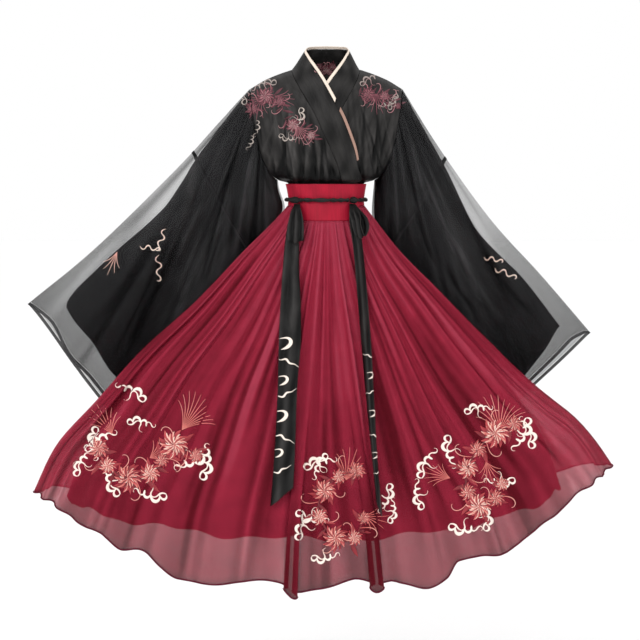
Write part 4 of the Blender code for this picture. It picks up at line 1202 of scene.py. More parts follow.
SHEER_LIGHT = (
    # along the sleeve, how much airier the organza looks: more see-through and painted lighter, or
    # painted darker below zero
    (0.00, -0.05), (0.15, 0.05), (0.32, 0.38), (0.45, 0.40), (0.60, 0.18), (0.85, 0.00),
    (1.00, -0.16),
)
BARE_EDGE, BARE_FADE = 0.20, 0.20  # where down the sleeve that look fades, and over how much


def sleeve_turns(count):
    """Turns round a sleeve that keep the solids' own places, with more between them."""
    falls = np.array([f for f in BODY_ROWS if f <= ARMHOLE_END])
    front = np.arccos(1.0 - 2.0 * falls / ARMHOLE_END)
    ring = np.concatenate([front, 2.0 * math.pi - front[-2:0:-1], [2.0 * math.pi]])
    return np.interp(np.arange(count) * (len(ring) - 1.0) / count, range(len(ring)), ring)


def sleeve_sheet(side, point, start, end, rows, columns, outward=0.0):
    """The sheet, and how light each point looks. Long folds fan out from the shoulder and
    run through both walls, so the back wall moves the same way as the front."""
    along = np.linspace(start, end, rows)[:, None]
    turns = sleeve_turns(columns)[None, :]
    grid = point(side, along, turns)
    turned = side == "left"
    if not turned:  # the right sleeve swings in beside the waist
        low = smooth((drop_of(turns) - 0.75) / 0.25)
        beside = np.exp(-(((grid[..., 2] - CORD_Z + 0.018) / 0.034) ** 2))
        grid[..., 0] += WAIST_FOLD * low * beside
    reach_x, reach_z = np.abs(grid[..., 0]) - 0.15, 0.02 - grid[..., 2]
    heading = np.arctan2(reach_z, np.maximum(1e-4, reach_x))
    far = np.hypot(reach_x, reach_z) / 0.9
    seed, fan = 51 if turned else 61, (0.55, 1.75)
    dark = fold_lines(heading, far, 46, fan, (0.006, 0.022), seed, 0.05)
    pale = fold_lines(heading, far, 40, fan, (0.010, 0.030), seed + 1, 0.05)
    trough = creases(grid, SLEEVE_CREASES)
    push = -(trough + SLEEVE_CREASE * dark - SLEEVE_CREASE * pale) * smooth(along / 0.15)
    push = push + outward
    out = grid_normals(grid, ring=True, flip=turned)
    facing = np.where(out[..., 1:2] < 0.0, 1.0, -1.0)
    # Painted shade in the troughs and the dark creases, painted light along the pale folds
    light = 0.40 - 0.30 * dark + 0.30 * pale - 75.0 * trough
    return grid + out * (push[..., None] * facing), light


# %% Sleeves, cuff bands and seams
SEAM_PLACE = {"right": 0.268, "left": 0.235}
SEAM_WIDTH, SEAM_RISE, SEAM_SHADE = 0.008, 0.0006, 0.16
AROUND, INNER_AROUND = 250, 240

for side in ("right", "left"):
    step = cuff_scale(side)
    cuff = 1.0 - CUFF_WIDTH / step
    turned = side == "left"
    strips = (
        # node, finish, surface, start, end, rows, columns, cloth, slot
        ("sleeve_sheer_", "_organza", outer_sleeve_point, 0.0, cuff, 70, AROUND,
         BLACK_ORGANZA, "black_sheer"),
        ("cuff_band_", "_binding", outer_sleeve_point, cuff + 3 * SEAM / step, 1.0, 4, AROUND,
         BLACK_BINDING, "black_silk"),
        ("sleeve_inner_", "_silk", inner_sleeve_point, 0.0, 1.0, 76, INNER_AROUND,
         BLACK_SILK, "black_silk"),
    )
    for node, kind, surface, start, end, rows, columns, cloth, slot in strips:
        grid, shade = sleeve_sheet(side, surface, start, end, rows, columns)
        # Where no silk lies behind it, the organza is made more see-through and painted lighter, and
        # where the table falls below zero it is painted darker all round
        if slot == "black_sheer":
            air = read(SHEER_LIGHT, np.linspace(start, end, rows), 1)[:, None]
            bare = 1.0 - smooth((drop_of(sleeve_turns(columns)) - BARE_EDGE) / BARE_FADE)
            shade = shade + np.where(air > 0.0, air * bare, air)
        lay_sheet(node + side + kind, grid, cloth, node + side, SLEEVE_THICK,
                  ring=True, flip=turned, fold=shade)
        print(node + side + kind, "%.2f m2" % cloth_area(grid, True))
    start = SEAM_PLACE[side]
    end = start + SEAM_WIDTH / step
    grid, shade = sleeve_sheet(side, sleeve_point, start, end, 3, AROUND, SEAM_RISE)
    lay_sheet("sleeve_seam_" + side, grid, BLACK_SILK, None, STRIP_THICK,
              ring=True, flip=turned, fold=shade - SEAM_SHADE)

# %% [markdown]
# ## The cord and its bow
# A narrow ribbon of the black satin is twisted as it goes round the waist, so it reads as
# a rope with long flat turns. Two wrapped knots hold the ends: a loop and a long streamer
# leave each of them.

# %% Twisted cord
CORD_RADIUS, KNOT_RADIUS = 0.0047, 0.0102
CORD_SIDES, CORD_TWIST = 20, 115.0  # points round the cord, and radians it turns in a metre
WAIST_RADIUS = 0.092  # of the ring that the cord follows, near the knots


def knot_angle(side):
    return float(np.arcsin(KNOT_X[side] / (read(BAND_SECTIONS, CORD_Z, 1) + CORD_RADIUS)))


def twisted_cord(node, start, end, steps):
    """A soft oval section that turns as it goes, with a fine crease along it."""
    angle = np.linspace(start, end, steps)
    path = band_point(angle, CORD_Z, CORD_RADIUS + SEAM)
    around = round_angles(CORD_SIDES)[None, :]
    length = running(np.linalg.norm(np.diff(path, axis=0), axis=1))
    twist = (length * CORD_TWIST + 0.8 * np.sin(length * 61.0))[:, None]
    crease = 0.12 * np.abs(np.cos(3.0 * (around - twist))) ** 8
    oval = 1.0 - 0.20 * np.cos(2.0 * (around - twist)) - crease
    out = np.stack([np.sin(angle), -np.cos(angle), np.zeros(steps)], axis=1)
    up = np.array([0.0, 0.0, 1.0])
    reach = CORD_RADIUS * 0.86 * oval
    grid = (
        path[:, None]
        + out[:, None] * (reach * np.cos(around))[..., None]
        + up * (reach * np.sin(around) * 1.12)[..., None]
    )
    lay_tube(node + "_twist", grid, BLACK_SATIN, node)
    print(node, "%.3f m" % length[-1])


room = (KNOT_RADIUS + SEAM) / WAIST_RADIUS
right_knot, left_knot = knot_angle("right"), knot_angle("left")
twisted_cord("waist_cord_front", right_knot + room, left_knot - room, 120)
twisted_cord("waist_cord_back", left_knot + room, right_knot + 2.0 * math.pi - room, 300)


# %% Wrapped knots
KNOT_STRETCH = {"right": 1.5, "left": 1.2}
KNOT_START = {"right": 0.0, "left": 0.6}  # where its wraps start, so the two differ
KNOT_RINGS, KNOT_SIDES = 22, 40


def wrapped_knot(side):
    """A ball of cloth with the wraps of the ribbon as slanting ridges."""
    place = band_point(knot_angle(side), CORD_Z, KNOT_RADIUS * 1.02 + SEAM)
    tilt = np.linspace(0.06, math.pi - 0.06, KNOT_RINGS)[:, None]
    around = round_angles(KNOT_SIDES)[None, :]
    wraps = 0.5 + 0.5 * np.cos(3.0 * around + 4.2 * tilt + KNOT_START[side])
    reach = KNOT_RADIUS * (0.86 + 0.13 * wraps ** 2)
    ball = joined(reach * np.sin(tilt) * np.cos(around) * KNOT_STRETCH[side],
                  reach * np.sin(tilt) * np.sin(around) * 0.92,
                  reach * np.cos(tilt) * np.ones(around.shape) * 0.85)
    lay_tube("knot_%s_wrapped" % side, ball[::-1] + place, BLACK_SATIN,
             "knot_" + side)


for side in KNOT_STRETCH:
    wrapped_knot(side)
    print(side, "knot, radius %.4f m" % KNOT_RADIUS)

# %% [markdown]
# The streamers fall free in front of the skirt, each folded lengthwise and slightly
# twisted. The loops are the same ribbon, pinched at the knot and opened below, so one
# crease runs down the middle of each.

# %% Streamers and loops
RIBBON_LIGHT, RIBBON_CREASE_LIGHT, ROUND_LOOP = 0.20, 90.0, 0.009
STREAMER_START = {"right": 0.0, "left": 1.7}  # where its creases start, so the two differ
STREAMER_GRID, LOOP_GRID = (150, 17), (90, 15)  # rows and columns


def streamer_grid(side, rows, columns):
    table = STREAMERS[side]
    steps = np.linspace(0.0, 1.0, rows)[:, None]
    share = np.linspace(0.0, 1.0, columns)[None, :]
    z = table[0][0] + (table[-1][0] - table[0][0]) * steps
    first, second, fold = (read(table, z, k) for k in (1, 2, 3))
    x = first + (second - first) * share
    low = z + STREAMER_SLANT[side] * (0.5 - share) * smooth(steps * 1.5 - 0.5)
    out = CLOTH * 2.2 + STREAMER_CLEAR * smooth((table[0][0] - z) / 0.10)
    turns = 2.0 * math.pi * share * 1.5 + 5.0 * steps + STREAMER_START[side]
    crease = 0.0022 * np.sin(turns)
    crease = crease * smooth(steps / 0.06) + 0.0012 * np.sin(31.0 * steps + 4.0 * share)
    out = out + fold * np.sin(math.pi * share) + crease
    y = skirt_front_y(np.broadcast_to(x, low.shape), low)
    return joined(x, y - out, low), RIBBON_LIGHT + RIBBON_CREASE_LIGHT * crease


def loop_grid(side, rows, columns):
    table = [(i,) + row for i, row in enumerate(LOOP_ROWS[side])]
    t = np.linspace(0.0, len(table) - 1.0, rows)
    x, out, z = (read(table, t, k) for k in (1, 2, 3))
    centre = joined(x, skirt_front_y(np.full(rows, KNOT_X[side]), z) - out, z)
    ends = 16.0 * t / (len(table) - 1.0)
    spread = smooth(np.minimum(ends, 16.0 - ends) / 5.0)
    width = LOOP_WIDTH[side] * (0.50 + 0.50 * spread)
    turn = LOOP_TURN[side][0] * (1 - spread) + LOOP_TURN[side][1] * spread
    across = np.stack([np.cos(turn), np.sin(turn), np.zeros(rows)], axis=1)
    share = np.linspace(-0.5, 0.5, columns)
    grid = centre[:, None] + across[:, None] * (width[:, None] * share[None, :])[..., None]
    crease = 0.0030 * np.cos(4.0 * math.pi * share)[None, :] * smooth(spread * 1.4)[:, None]
    grid = grid + grid_normals(grid) * crease[..., None]
    lowest = np.sin(math.pi * t / (len(table) - 1.0))[:, None] ** 6
    grid[..., 2] += ROUND_LOOP * lowest * (2.0 * share[None, :]) ** 2
    return grid, RIBBON_LIGHT + RIBBON_CREASE_LIGHT * crease


RIBBONS = (("streamer_", streamer_grid, STREAMER_GRID), ("bow_loop_", loop_grid, LOOP_GRID))
for side in ("right", "left"):
    for kind, shape, (rows, columns) in RIBBONS:
        node = kind + side
        grid, fold = shape(side, rows, columns)
        lay_sheet(node + "_ribbon", grid, BLACK_SATIN, node, RIBBON_THICK, fold=fold)
        print(node, "%.3f m2" % cloth_area(grid))

# %% [markdown]
# ## Embroidery
# Satin stitch is thread laid side by side across a narrow shape, so it stands a little
# above the cloth and shines along the threads. Each stroke is a thin domed ribbon. It is
# drawn in the camera's view, where its curve is easy to judge, and then cast onto the
# cloth, so it follows every fold. The motifs are a common vocabulary, drawn anew: curled
# clouds, crescents and waves, a chrysanthemum, and a bent branch with leaves and flowers.

# %% Casting a drawing onto the cloth
MM_PER_PIXEL = 2.58  # near the waist
STITCH_RISE, STITCH_SINK, LONGEST_STITCH = 0.0009, 0.0004, 0.012
LAYER_RISE = 0.0000015  # how far each stroke lies above the one before it
LANES = np.array((-1.0, -0.62, 0.0, 0.62, 1.0))
EDGE_SHADE = 0.10  # how much lower on the ramp the edges of a stroke are


def cloth_tree(pieces):
    """One search tree over several pieces, and the piece that each of its faces is from."""
    points, faces, owner = [], [], []
    for piece in pieces:
        first = len(points)
        points += [vertex.co for vertex in piece.data.vertices]
        faces += [[first + k for k in face.vertices] for face in piece.data.polygons]
        owner += [piece.name] * len(piece.data.polygons)
    return BVHTree.FromPolygons(points, faces), owner


outer_cloths = [bpy.data.objects[name] for name in (
    "skirt_over_chiffon", "waistband_satin", "jacket_front_over_satin", "jacket_front_under_satin",
    "collar_over_satin", "collar_under_satin", "sleeve_sheer_right_organza",
    "sleeve_sheer_left_organza", "streamer_right_ribbon", "streamer_left_ribbon",
    "bow_loop_right_ribbon", "bow_loop_left_ribbon", "jacket_back_satin",
)]
cloth_search, face_owner = cloth_tree(outer_cloths)


def on_cloth(x, y, cloths):
    """The point and the outward normal where the view's ray at x, y meets one of the cloths."""
    way = (Vector(FORWARD) + Vector(UPWARD) * ((VIEW_SIDE / 2 - y) / FOCAL_PIXELS)
           + Vector((1.0, 0.0, 0.0)) * ((x - VIEW_SIDE / 2) / FOCAL_PIXELS))
    place, normal, face, _ = cloth_search.ray_cast(Vector(CAMERA_PLACE), way)
    if place is None or not face_owner[face].startswith(cloths):
        return None
    return place, normal if normal.dot(way) < 0.0 else -normal


def stitch(work, cloths, path, width, floss, rise):
    """One satin-stitch stroke: its path and width in pixels, and its colour as a place on
    the floss ramp, from one end of the stroke to the other."""
    path = np.asarray(path, float)
    count = len(path)
    width = np.interp(np.linspace(0, 1, count), np.linspace(0, 1, len(width)), width)
    floss = np.interp(np.linspace(0, 1, count), np.linspace(0, 1, len(floss)), floss)
    ahead = np.gradient(path, axis=0)
    ahead /= np.maximum(np.linalg.norm(ahead, axis=1, keepdims=True), 1e-6)
    side = np.stack([-ahead[:, 1], ahead[:, 0]], axis=1)
    length = running(np.linalg.norm(np.diff(path, axis=0), axis=1)) * MM_PER_PIXEL / 1000.0
    spots = {}
    for i in range(count):
        for k, lane in enumerate(LANES):
            x, y = path[i] + side[i] * lane * width[i] / 2.0
            found = on_cloth(x, y, cloths)
            if found is None:
                continue
            dome = STITCH_RISE * (1.0 - math.sqrt(1.0 - lane * lane))
            lift = rise - dome - STITCH_SINK * abs(lane) ** 4
            spots[i, k] = len(work["points"])
            work["points"].append(found[0] + found[1] * lift)
            work["floss"].append(floss[i] - EDGE_SHADE * lane ** 4)
    for i in range(count - 1):
        for k in range(len(LANES) - 1):
            corners = ((i, k), (i, k + 1), (i + 1, k + 1), (i + 1, k))
            if not all(c in spots for c in corners):
                continue
            face = [spots[c] for c in corners]
            around = [work["points"][v] for v in face]
            if max((around[n] - around[n - 1]).length for n in range(4)) > LONGEST_STITCH:
                continue
            normal = (around[2] - around[0]).cross(around[3] - around[1])
            uvs = [(LANES[lane] * width[step] * MM_PER_PIXEL / 2000.0, length[step])
                   for step, lane in corners]
            if normal.dot(around[0] - Vector(CAMERA_PLACE)) > 0.0:
                face, uvs = face[::-1], uvs[::-1]
            work["faces"].append(face)
            work["uvs"] += uvs


def embroider(name, cloths, finish, strokes, wall=0.0):
    """A piece from all the strokes, without the points that no face uses. wall is how much
    cloth lies between the surface that was cast on and the camera."""
    work = {"points": [], "faces": [], "uvs": [], "floss": []}
    for layer, (path, width, floss) in enumerate(strokes):
        stitch(work, cloths, path, width, floss, wall + STITCH_RISE + LAYER_RISE * layer)
    used = sorted({v for face in work["faces"] for v in face})
    order = {v: n for n, v in enumerate(used)}
    mesh = bpy.data.meshes.new(name)
    mesh.from_pydata([work["points"][v] for v in used], [],
                     [[order[v] for v in face] for face in work["faces"]])
    mesh.uv_layers.new(name="weave").data.foreach_set("uv", np.array(work["uvs"]).reshape(-1))
    mark(mesh, "floss", [work["floss"][v] for v in used])
    add_piece(name, mesh, finish)
    print(name, len(strokes), "strokes,", len(mesh.polygons), "stitch faces")


# %% Floss
def floss_material(name, stops, gloss):
    """Twisted silk: fine ridges across each stroke, and a colour read from a ramp."""
    made, tree = new_material(name)
    place = add_node(tree, "ShaderNodeUVMap", uv_map="weave").outputs["UV"]
    tone = add_node(tree, "ShaderNodeAttribute", attribute_name="floss").outputs["Fac"]
    ramp = add_node(tree, "ShaderNodeValToRGB", {"Fac": tone})
    elements = ramp.color_ramp.elements
    while len(elements) < len(stops):
        elements.new(0.5)
    for element, (spot, colour) in zip(elements, stops):
        element.position = spot
        element.color = linear(colour)
    threads = add_node(tree, "ShaderNodeTexWave", {"Vector": place, "Scale": WAVE_PERIOD / 0.0014,
                                                   "Distortion": 0.6}, bands_direction="Y")
    # The grooves between the threads are painted darker and their crests a little lighter
    thread_shade = add_node(tree, "ShaderNodeMapRange", {"Value": threads.outputs["Fac"], "To Min": 0.80,
                                                 "To Max": 1.06})
    colour = add_node(tree, "ShaderNodeVectorMath", {0: ramp.outputs[0], "Scale": thread_shade.outputs[0]},
                      operation="SCALE")
    bump = add_node(tree, "ShaderNodeBump", {"Height": threads.outputs["Fac"], "Strength": 0.5,
                                             "Distance": 0.0003})
    shader = add_node(tree, "ShaderNodeBsdfPrincipled", {
        "Base Color": colour.outputs[0], "Roughness": 0.42, "Normal": bump.outputs[0],
        "Specular IOR Level": gloss,
    })
    add_node(tree, "ShaderNodeOutputMaterial", {"Surface": shader.outputs[0]})
    return made


BRIGHT_FLOSS = floss_material("bright embroidery floss", (
    (0.0, "#4a0d16"), (0.2, "#8c1f2a"), (0.4, "#b94648"), (0.58, "#d98478"), (0.76, "#ecc9b9"),
    (1.0, "#f5ebe0"),
), 0.35)
MUTED_FLOSS = floss_material("muted embroidery floss", (
    (0.0, "#32141a"), (0.25, "#5e2833"), (0.45, "#834a54"), (0.62, "#a2686e"), (0.80, "#958a84"),
    (1.0, "#c4b8ae"),
), 0.30)


# %% Motifs, each a list of strokes in pixels
def winding(place, heading, length, bends, count):
    """A stroke that starts at a place and turns by the bends, in radians, as it goes."""
    share = np.linspace(0.0, 1.0, count)
    turn = np.interp(share, np.linspace(0.0, 1.0, len(bends)), bends)
    angle = heading + np.cumsum(turn) / count
    step = np.stack([np.cos(angle), np.sin(angle)], axis=1) * length / count
    return np.asarray(place, float) + np.cumsum(step, axis=0) - step[0]


def cloud(place, size, heading, hand=1, tone=1.0, weight=1.0, arcs=(0.70, 1.0, 0.78), tails=2):
    """A cloud: two or three swelling arcs that meet in cusps, and a wavy tail at each end."""
    thick = size * 0.21 * weight
    strokes, spot = [], place
    for n, share in enumerate(arcs):
        arc = winding(spot, heading + 0.30 * hand * n, size * 1.6 * share,
                      [hand * bend for bend in (1.2, 6.0, 1.2)], 16)
        widths = [thick * part * share for part in (0.30, 1.0, 1.5, 1.0, 0.40)]
        strokes.append((arc, widths, [tone, tone]))
        spot = arc[-1]
    tail_rows = (
        (spot, 0.3 * hand, 1.7, (1.0, 9.0, 5.0, -11.0, -8.0)),
        (place, math.pi - 0.4 * hand, 2.5, (-2.0, -7.0, 6.0, 12.0, -6.0, -10.0)),
    )
    for start, turn, length, bends in tail_rows[:tails]:
        tail = winding(start, heading + turn, size * length, [hand * bend for bend in bends], 26)
        widths = [thick * part for part in (0.45, 0.80, 0.45, 0.65, 0.30, 0.12)]
        strokes.append((tail, widths, [tone, tone - 0.10]))
    return strokes


def wisp(place, heading, length, tone):
    """A long thin line of cloud that meanders and ends in a hook."""
    bends = (9.0, -8.0, -16.0, 8.0, 17.0, -6.0, -15.0, 4.0, 16.0, 20.0)
    path = winding(place, heading, length, bends, 44)
    return [(path, [0.3, 1.2, 0.8, 1.6, 0.9, 1.5, 1.0, 1.5, 0.6], [tone - 0.1, tone])]


def crescent(place, size, tone):
    """A fat crescent of cloud with thin tips."""
    moon = winding(place, -0.35, size * 2.5, (0.6, 1.6, 8.5, 2.6, 0.8), 24)
    return [(moon, [0.4, size * 0.16, size * 0.40, size * 0.34, 0.4], [tone, tone])]


def ripple(place, size, hand, tone):
    """A long wave of cloud that swells in the middle."""
    bends = [hand * bend for bend in (5.0, -9.0, 12.0, -9.0, 6.0, -4.0)]
    wave = winding(place, 0.35 * hand, size * 3.0, bends, 30)
    widths = [0.3, size * 0.12, size * 0.28, size * 0.24, size * 0.10, 0.3]
    return [(wave, widths, [tone, tone])]


def bloom(place, size, petals, tones=(0.16, 0.40, 0.64)):
    """A chrysanthemum: a dark ring behind, painted as the shadow under the petals, long
    petals that curve one way, shorter ones inside, and a small heart."""
    rings = ((1.12, petals, 0.28, -0.30), (1.0, petals, 0.20, 0.02), (0.70, petals - 3, 0.19, 0.14),
             (0.42, petals // 2, 0.16, 0.28))
    strokes = []
    for ring, (reach, count, wide, paler) in enumerate(rings):
        for n in range(count):
            angle = 2.0 * math.pi * (n + 0.5 * ring) / count + 0.13 * math.sin(5.0 * n + ring)
            length = size * reach * (0.86 + 0.14 * math.sin(3.0 * n + 2.0 * ring))
            path = winding(place, angle - 0.45, length, [0.2, 0.9, 1.6], 9)
            shift = paler + 0.06 * ((n + ring) % 3)
            strokes.append((path, [0.3, size * wide * 0.8, size * wide, 0.3],
                            [max(0.0, tone + shift) for tone in tones]))
    heart = winding(place, 0.0, size * 0.4, [12.0, 16.0], 12)
    strokes.append((heart, [size * 0.1, size * 0.06], [0.80, 0.90]))
    return strokes


def spray(place, size, heading, spread, count, tone):
    """Fine single threads that fan out."""
    strokes = []
    for n in range(count):
        share = n / (count - 1) - 0.5
        length = size * (1.0 - 0.5 * abs(share) + 0.12 * math.sin(7.0 * n))
        path = winding(place, heading + spread * share, length, [0.3, 1.4 * share, 2.6 * share], 14)
        strokes.append((path, [0.5, 0.8, 0.3], [tone, tone + 0.12]))
    return strokes


def leaf(place, heading, size, bend, tones):
    """A pointed leaf with a pale rib."""
    path = winding(place, heading, size, [bend, bend * 0.3, -bend], 12)
    blade = (path, [0.4, size * 0.20, size * 0.26, size * 0.18, 0.3], tones)
    rib = (path[:10], [0.4, 0.7, 0.3], [tones[1] + 0.3, tones[1] + 0.45])
    return [blade, rib]


def branch(points, flowers, size, tones=((0.14, 0.36, 0.60), (0.22, 0.46, 0.70))):
    """A bent stem with leaves on both sides, tendrils, and flowers of several sizes."""
    path = finer(np.array(points, float)[:, None], 90)[:, 0]
    strokes = [(path[::2], [size * 0.10, size * 0.16, size * 0.12], [0.05, 0.12])]
    ahead = np.gradient(path, axis=0)
    heading = np.arctan2(ahead[:, 1], ahead[:, 0])
    for n, i in enumerate(range(4, 88, 5)):
        side = 1 if n % 2 else -1
        tone = 0.04 + 0.05 * (n % 3)
        strokes += leaf(path[i], heading[i] + side * (0.85 + 0.2 * math.sin(3.0 * n)),
                        size * (1.25 + 0.25 * math.sin(2.0 * n)), 0.9 * side, [tone, tone + 0.18])
    for n, i in enumerate(range(9, 88, 12)):
        side = -1 if n % 2 else 1
        bends = [-1.0 * side, 2.0 * side, 8.0 * side]
        curl = winding(path[i], heading[i] + 1.2 * side, size * 2.0, bends, 18)
        strokes.append((curl, [0.6, 1.0, 0.5], [0.55, 0.72]))
    for n, (share, scale) in enumerate(flowers):
        place = path[int(share * 89)]
        strokes += bloom(place, size * scale, 12 + int(4 * scale), tones[n % 2])
    return strokes


def drawn(motif, *rows):
    """The strokes of a motif that is drawn once for each row."""
    return [stroke for row in rows for stroke in motif(*row)]


# %% Embroidery of the skirt: three bouquets
# a cloud's row: place, size, heading, hand. A spray's: place, size, heading, spread, threads, tone
SKIRT_LEFT = (
    drawn(cloud, ((88, 452), 14, 3.4), ((98, 428), 13, 3.9, -1), ((143, 402), 13, -0.3, -1),
          ((206, 448), 15, 0.3), ((120, 494), 13, 2.0), ((200, 478), 14, 0.9, -1),
          ((78, 476), 12, 2.9), ((166, 494), 13, 1.0), ((128, 424), 11, -2.2))
    + drawn(spray, ((112, 434), 34, -2.0, 1.1, 8, 0.52), ((182, 430), 44, -1.0, 1.0, 11, 0.54),
            ((150, 458), 26, -0.6, 1.2, 7, 0.50))
    + branch(((98, 448), (112, 470), (140, 480), (160, 462), (176, 444), (196, 456)),
             ((0.02, 0.85), (0.16, 0.7), (0.32, 1.1), (0.50, 0.8), (0.62, 0.6), (0.78, 1.15),
              (1.0, 0.6)), 15.0)
)
SKIRT_CENTRE = (
    drawn(cloud, ((306, 470), 13, -2.6), ((298, 510), 13, 2.6, -1), ((388, 484), 12, -0.4),
          ((300, 540), 13, 2.9), ((388, 522), 10, 0.9, -1), ((328, 456), 11, -1.9, -1),
          ((312, 556), 11, 2.2, -1))
    + drawn(spray, ((346, 480), 34, -1.3, 1.3, 9, 0.52), ((364, 516), 26, 0.2, 1.2, 7, 0.48))
    + branch(((358, 470), (334, 480), (318, 506), (330, 534), (352, 540), (364, 518)),
             ((0.03, 0.8), (0.16, 0.65), (0.30, 1.05), (0.48, 0.75), (0.66, 1.1), (0.84, 0.7),
              (1.0, 0.6)), 13.5)
)
SKIRT_RIGHT = (
    drawn(cloud, ((526, 418), 14, -0.3), ((450, 436), 13, 3.7, -1), ((422, 478), 13, 2.9),
          ((530, 448), 13, 0.4, -1), ((514, 478), 12, 0.8), ((450, 524), 13, 2.4, -1),
          ((466, 414), 11, -2.5), ((484, 530), 12, 0.7, -1), ((424, 508), 12, 2.2))
    + drawn(spray, ((500, 432), 42, -1.7, 1.4, 11, 0.54), ((450, 478), 28, -2.9, 1.0, 8, 0.50),
            ((486, 462), 24, 1.2, 1.2, 7, 0.50))
    + branch(((514, 424), (494, 434), (476, 452), (466, 476), (472, 502), (490, 506), (502, 484)),
             ((0.0, 0.7), (0.16, 1.15), (0.32, 0.7), (0.46, 0.85), (0.60, 0.7), (0.74, 1.05),
              (0.90, 0.7), (1.0, 0.55)), 15.0)
)
for part, strokes in (("left", SKIRT_LEFT), ("centre", SKIRT_CENTRE), ("right", SKIRT_RIGHT)):
    embroider("embroidery_skirt_" + part, ("skirt_over",), BRIGHT_FLOSS, strokes)

# %% Embroidery of the jacket, the sleeves and the neck
DUSTY = ((0.04, 0.22, 0.44), (0.10, 0.32, 0.56))
ROSY = ((0.20, 0.45, 0.66), (0.26, 0.55, 0.76))
PALE = ((0.22, 0.46, 0.62), (0.26, 0.50, 0.72))
NECK_WALL = 0.0022  # the collar's wall stands in front of the surface inside the neck
SHOULDER_RIGHT = (
    drawn(cloud, ((276, 84), 10, -1.1, -1, 0.82, 0.8), ((246, 104), 10, 2.6, 1, 0.84, 0.8))
    + drawn(spray, ((262, 98), 24, 2.2, 1.6, 8, 0.36), ((276, 96), 20, 0.4, 1.3, 7, 0.40))
    + branch(((250, 112), (262, 98), (276, 96), (284, 112)),
             ((0.10, 0.9), (0.42, 1.2), (0.80, 0.8)), 8.5, DUSTY)
)
SHOULDER_LEFT = (
    drawn(cloud, ((396, 94), 9, 0.2, 1, 0.82, 0.8), ((362, 86), 9, -2.8, 1, 0.80, 0.8),
          ((388, 108), 8, 1.2, -1, 0.80, 0.8))
    + spray((376, 94), 22, 1.6, 2.2, 10, 0.38)
    + branch(((358, 96), (370, 94), (384, 96), (398, 106)),
             ((0.30, 1.1), (0.68, 0.8), (1.0, 0.5)), 8.0, DUSTY)
)
CHEST = (
    drawn(cloud, ((300, 108), 10, -0.4, 1, 0.95, 0.8), ((280, 134), 8, 2.5, -1, 0.90, 0.8))
    + spray((296, 126), 26, 0.9, 1.2, 9, 0.56)
    + branch(((284, 118), (294, 126), (306, 130), (314, 140)), ((0.30, 1.0), (0.85, 0.7)),
             7.5, ROSY)
)
HANGING_CLOUD = drawn(cloud, ((256, 121), 8, -0.5, 1, 0.92, 0.7, (0.7, 0.9), 1),
                      ((251, 136), 8, -0.3, 1, 0.92, 0.7, (0.6, 0.8), 1))
SLEEVE_RIGHT = (
    drawn(wisp, ((166, 229), 2.5, 34, 0.92), ((140, 246), 0.7, 30, 0.94),
          ((159, 255), 2.1, 38, 0.90))
    + spray((117, 252), 24, 1.9, 0.6, 5, 0.66)
)
SLEEVE_LEFT = drawn(wisp, ((484, 257), 0.75, 28, 0.88), ((495, 268), 0.95, 34, 0.90))
NECK_FLOWERS = (
    branch(((318, 66), (326, 70), (334, 66)), ((0.1, 0.9), (0.5, 1.1), (0.9, 0.9)), 5.0, PALE)
    + drawn(bloom, ((322, 73), 4, 9, (0.22, 0.46, 0.66)), ((330, 73), 4, 9, (0.22, 0.46, 0.66)))
)
MOTIFS = (
    # part, cloths it may lie on, floss, slot, strokes, wall
    ("shoulder_right", ("jacket", "sleeve", "collar"), MUTED_FLOSS, "beige", SHOULDER_RIGHT, 0.0),
    ("shoulder_left", ("jacket", "sleeve", "collar"), MUTED_FLOSS, "beige", SHOULDER_LEFT, 0.0),
    ("chest", ("jacket", "collar"), MUTED_FLOSS, "beige", CHEST, 0.0),
    ("hanging_cloud", ("jacket", "sleeve"), MUTED_FLOSS, "cream", HANGING_CLOUD, 0.0),
    ("sleeve_right", ("sleeve",), BRIGHT_FLOSS, "cream", SLEEVE_RIGHT, 0.0),
    ("sleeve_left", ("sleeve",), BRIGHT_FLOSS, "cream", SLEEVE_LEFT, 0.0),
    ("neck", ("collar", "jacket_back"), MUTED_FLOSS, "skirt_red", NECK_FLOWERS, NECK_WALL),
)
for part, cloths, floss, slot, strokes, wall in MOTIFS:
    embroider("embroidery_" + part, cloths, floss, strokes, wall)

# %% Embroidery of the streamers
CURL_TONE = 0.97
STREAMER_CURLS = {
    # place, size, and the way a wave turns, 0 for a crescent
    "right": ((279, 339, 11.5, 0), (277, 358, 9, 1), (278, 377, 9, 0), (274, 398, 9, -1),
              (275, 412, 11, 0), (272, 434, 9, 1), (274, 450, 8, 0), (270, 474, 8.5, -1)),
    "left": ((363, 354, 5, 1), (367, 373, 6.5, 0), (365, 394, 5, -1), (369, 411, 6.5, 0),
             (369, 434, 5, 1), (372, 453, 6, 0), (373, 474, 4, -1)),
}
for side, curls in STREAMER_CURLS.items():
    strokes = []
    for x, y, size, hand in curls:
        if hand:
            strokes += ripple((x, y), size, hand, CURL_TONE)
        else:
            strokes += crescent((x, y), size, CURL_TONE)
    embroider("embroidery_streamer_" + side, ("streamer_" + side,), BRIGHT_FLOSS, strokes)

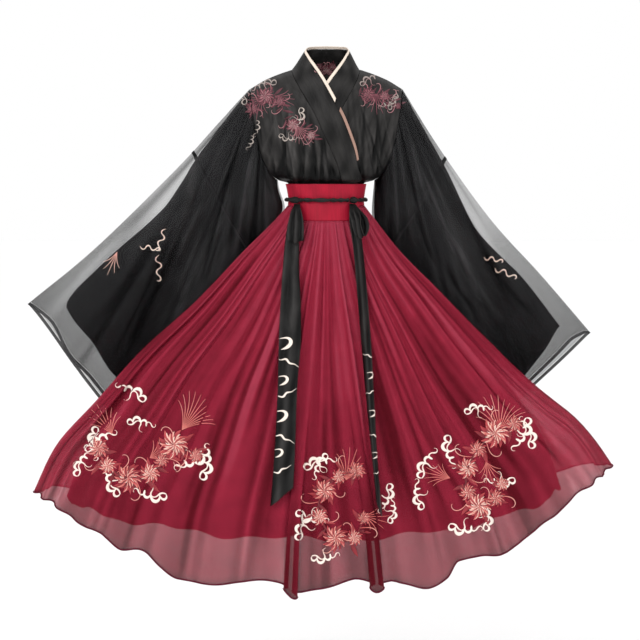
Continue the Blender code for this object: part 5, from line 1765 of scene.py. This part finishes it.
# %% [markdown]
# ## The room
# A set this dark and this sheer needs an even, pale room, so that nothing shows through
# the organza but soft white. The floor is a wide pale sheet, well below the hem, where the
# shadow has gone soft. There is no wall, so the set can be looked at from every side.

# %% Floor
FLOOR_Z, FLOOR_SIZE = -1.90, 60.0
bpy.ops.object.select_all(action="DESELECT")
bpy.ops.mesh.primitive_plane_add(size=FLOOR_SIZE)
backdrop = bpy.context.object
backdrop.name = "pale_floor"
for corner in backdrop.data.vertices:
    corner.co.z = FLOOR_Z
paper, tree = new_material("pale studio paper")
spot = add_node(tree, "ShaderNodeTexCoord").outputs["Object"]
grain = add_node(tree, "ShaderNodeTexNoise", {"Vector": spot, "Scale": 9.0, "Detail": 3.0})
tone = add_node(tree, "ShaderNodeMapRange", {"Value": grain.outputs["Fac"], "To Min": 0.93,
                                             "To Max": 0.96}).outputs[0]
white = add_node(tree, "ShaderNodeCombineColor", {0: tone, 1: tone, 2: tone})
# A faint emission makes the floor glow, painted light that lifts it to white
surface = add_node(tree, "ShaderNodeBsdfPrincipled", {
    "Base Color": white.outputs[0], "Roughness": 0.9,
    "Emission Color": (1.0, 1.0, 1.0, 1.0), "Emission Strength": 0.06,
})
add_node(tree, "ShaderNodeOutputMaterial", {"Surface": surface.outputs[0]})
backdrop.data.materials.append(paper)

# %% Lights
world = bpy.data.worlds.new("soft room")
world.use_nodes = True
sky = world.node_tree.nodes["Background"]
sky.inputs["Color"].default_value = (1.0, 1.0, 1.0, 1.0)
sky.inputs["Strength"].default_value = 1.0
bpy.context.scene.world = world


def soft_light(name, place, aim, size, watts):
    lamp = bpy.data.lights.new(name, "AREA")
    lamp.size, lamp.energy = size, watts
    holder = bpy.data.objects.new(name, lamp)
    holder.location = place
    holder.rotation_euler = (Vector(aim) - Vector(place)).to_track_quat("-Z", "Y").to_euler()
    bpy.context.scene.collection.objects.link(holder)


soft_light("key", (-1.6, -2.6, 1.7), (0.0, 0.0, -0.4), 2.0, 55.0)
soft_light("fill", (2.4, -2.2, 0.4), (0.0, 0.0, -0.6), 2.5, 18.0)
bpy.context.scene.view_settings.view_transform = "Standard"
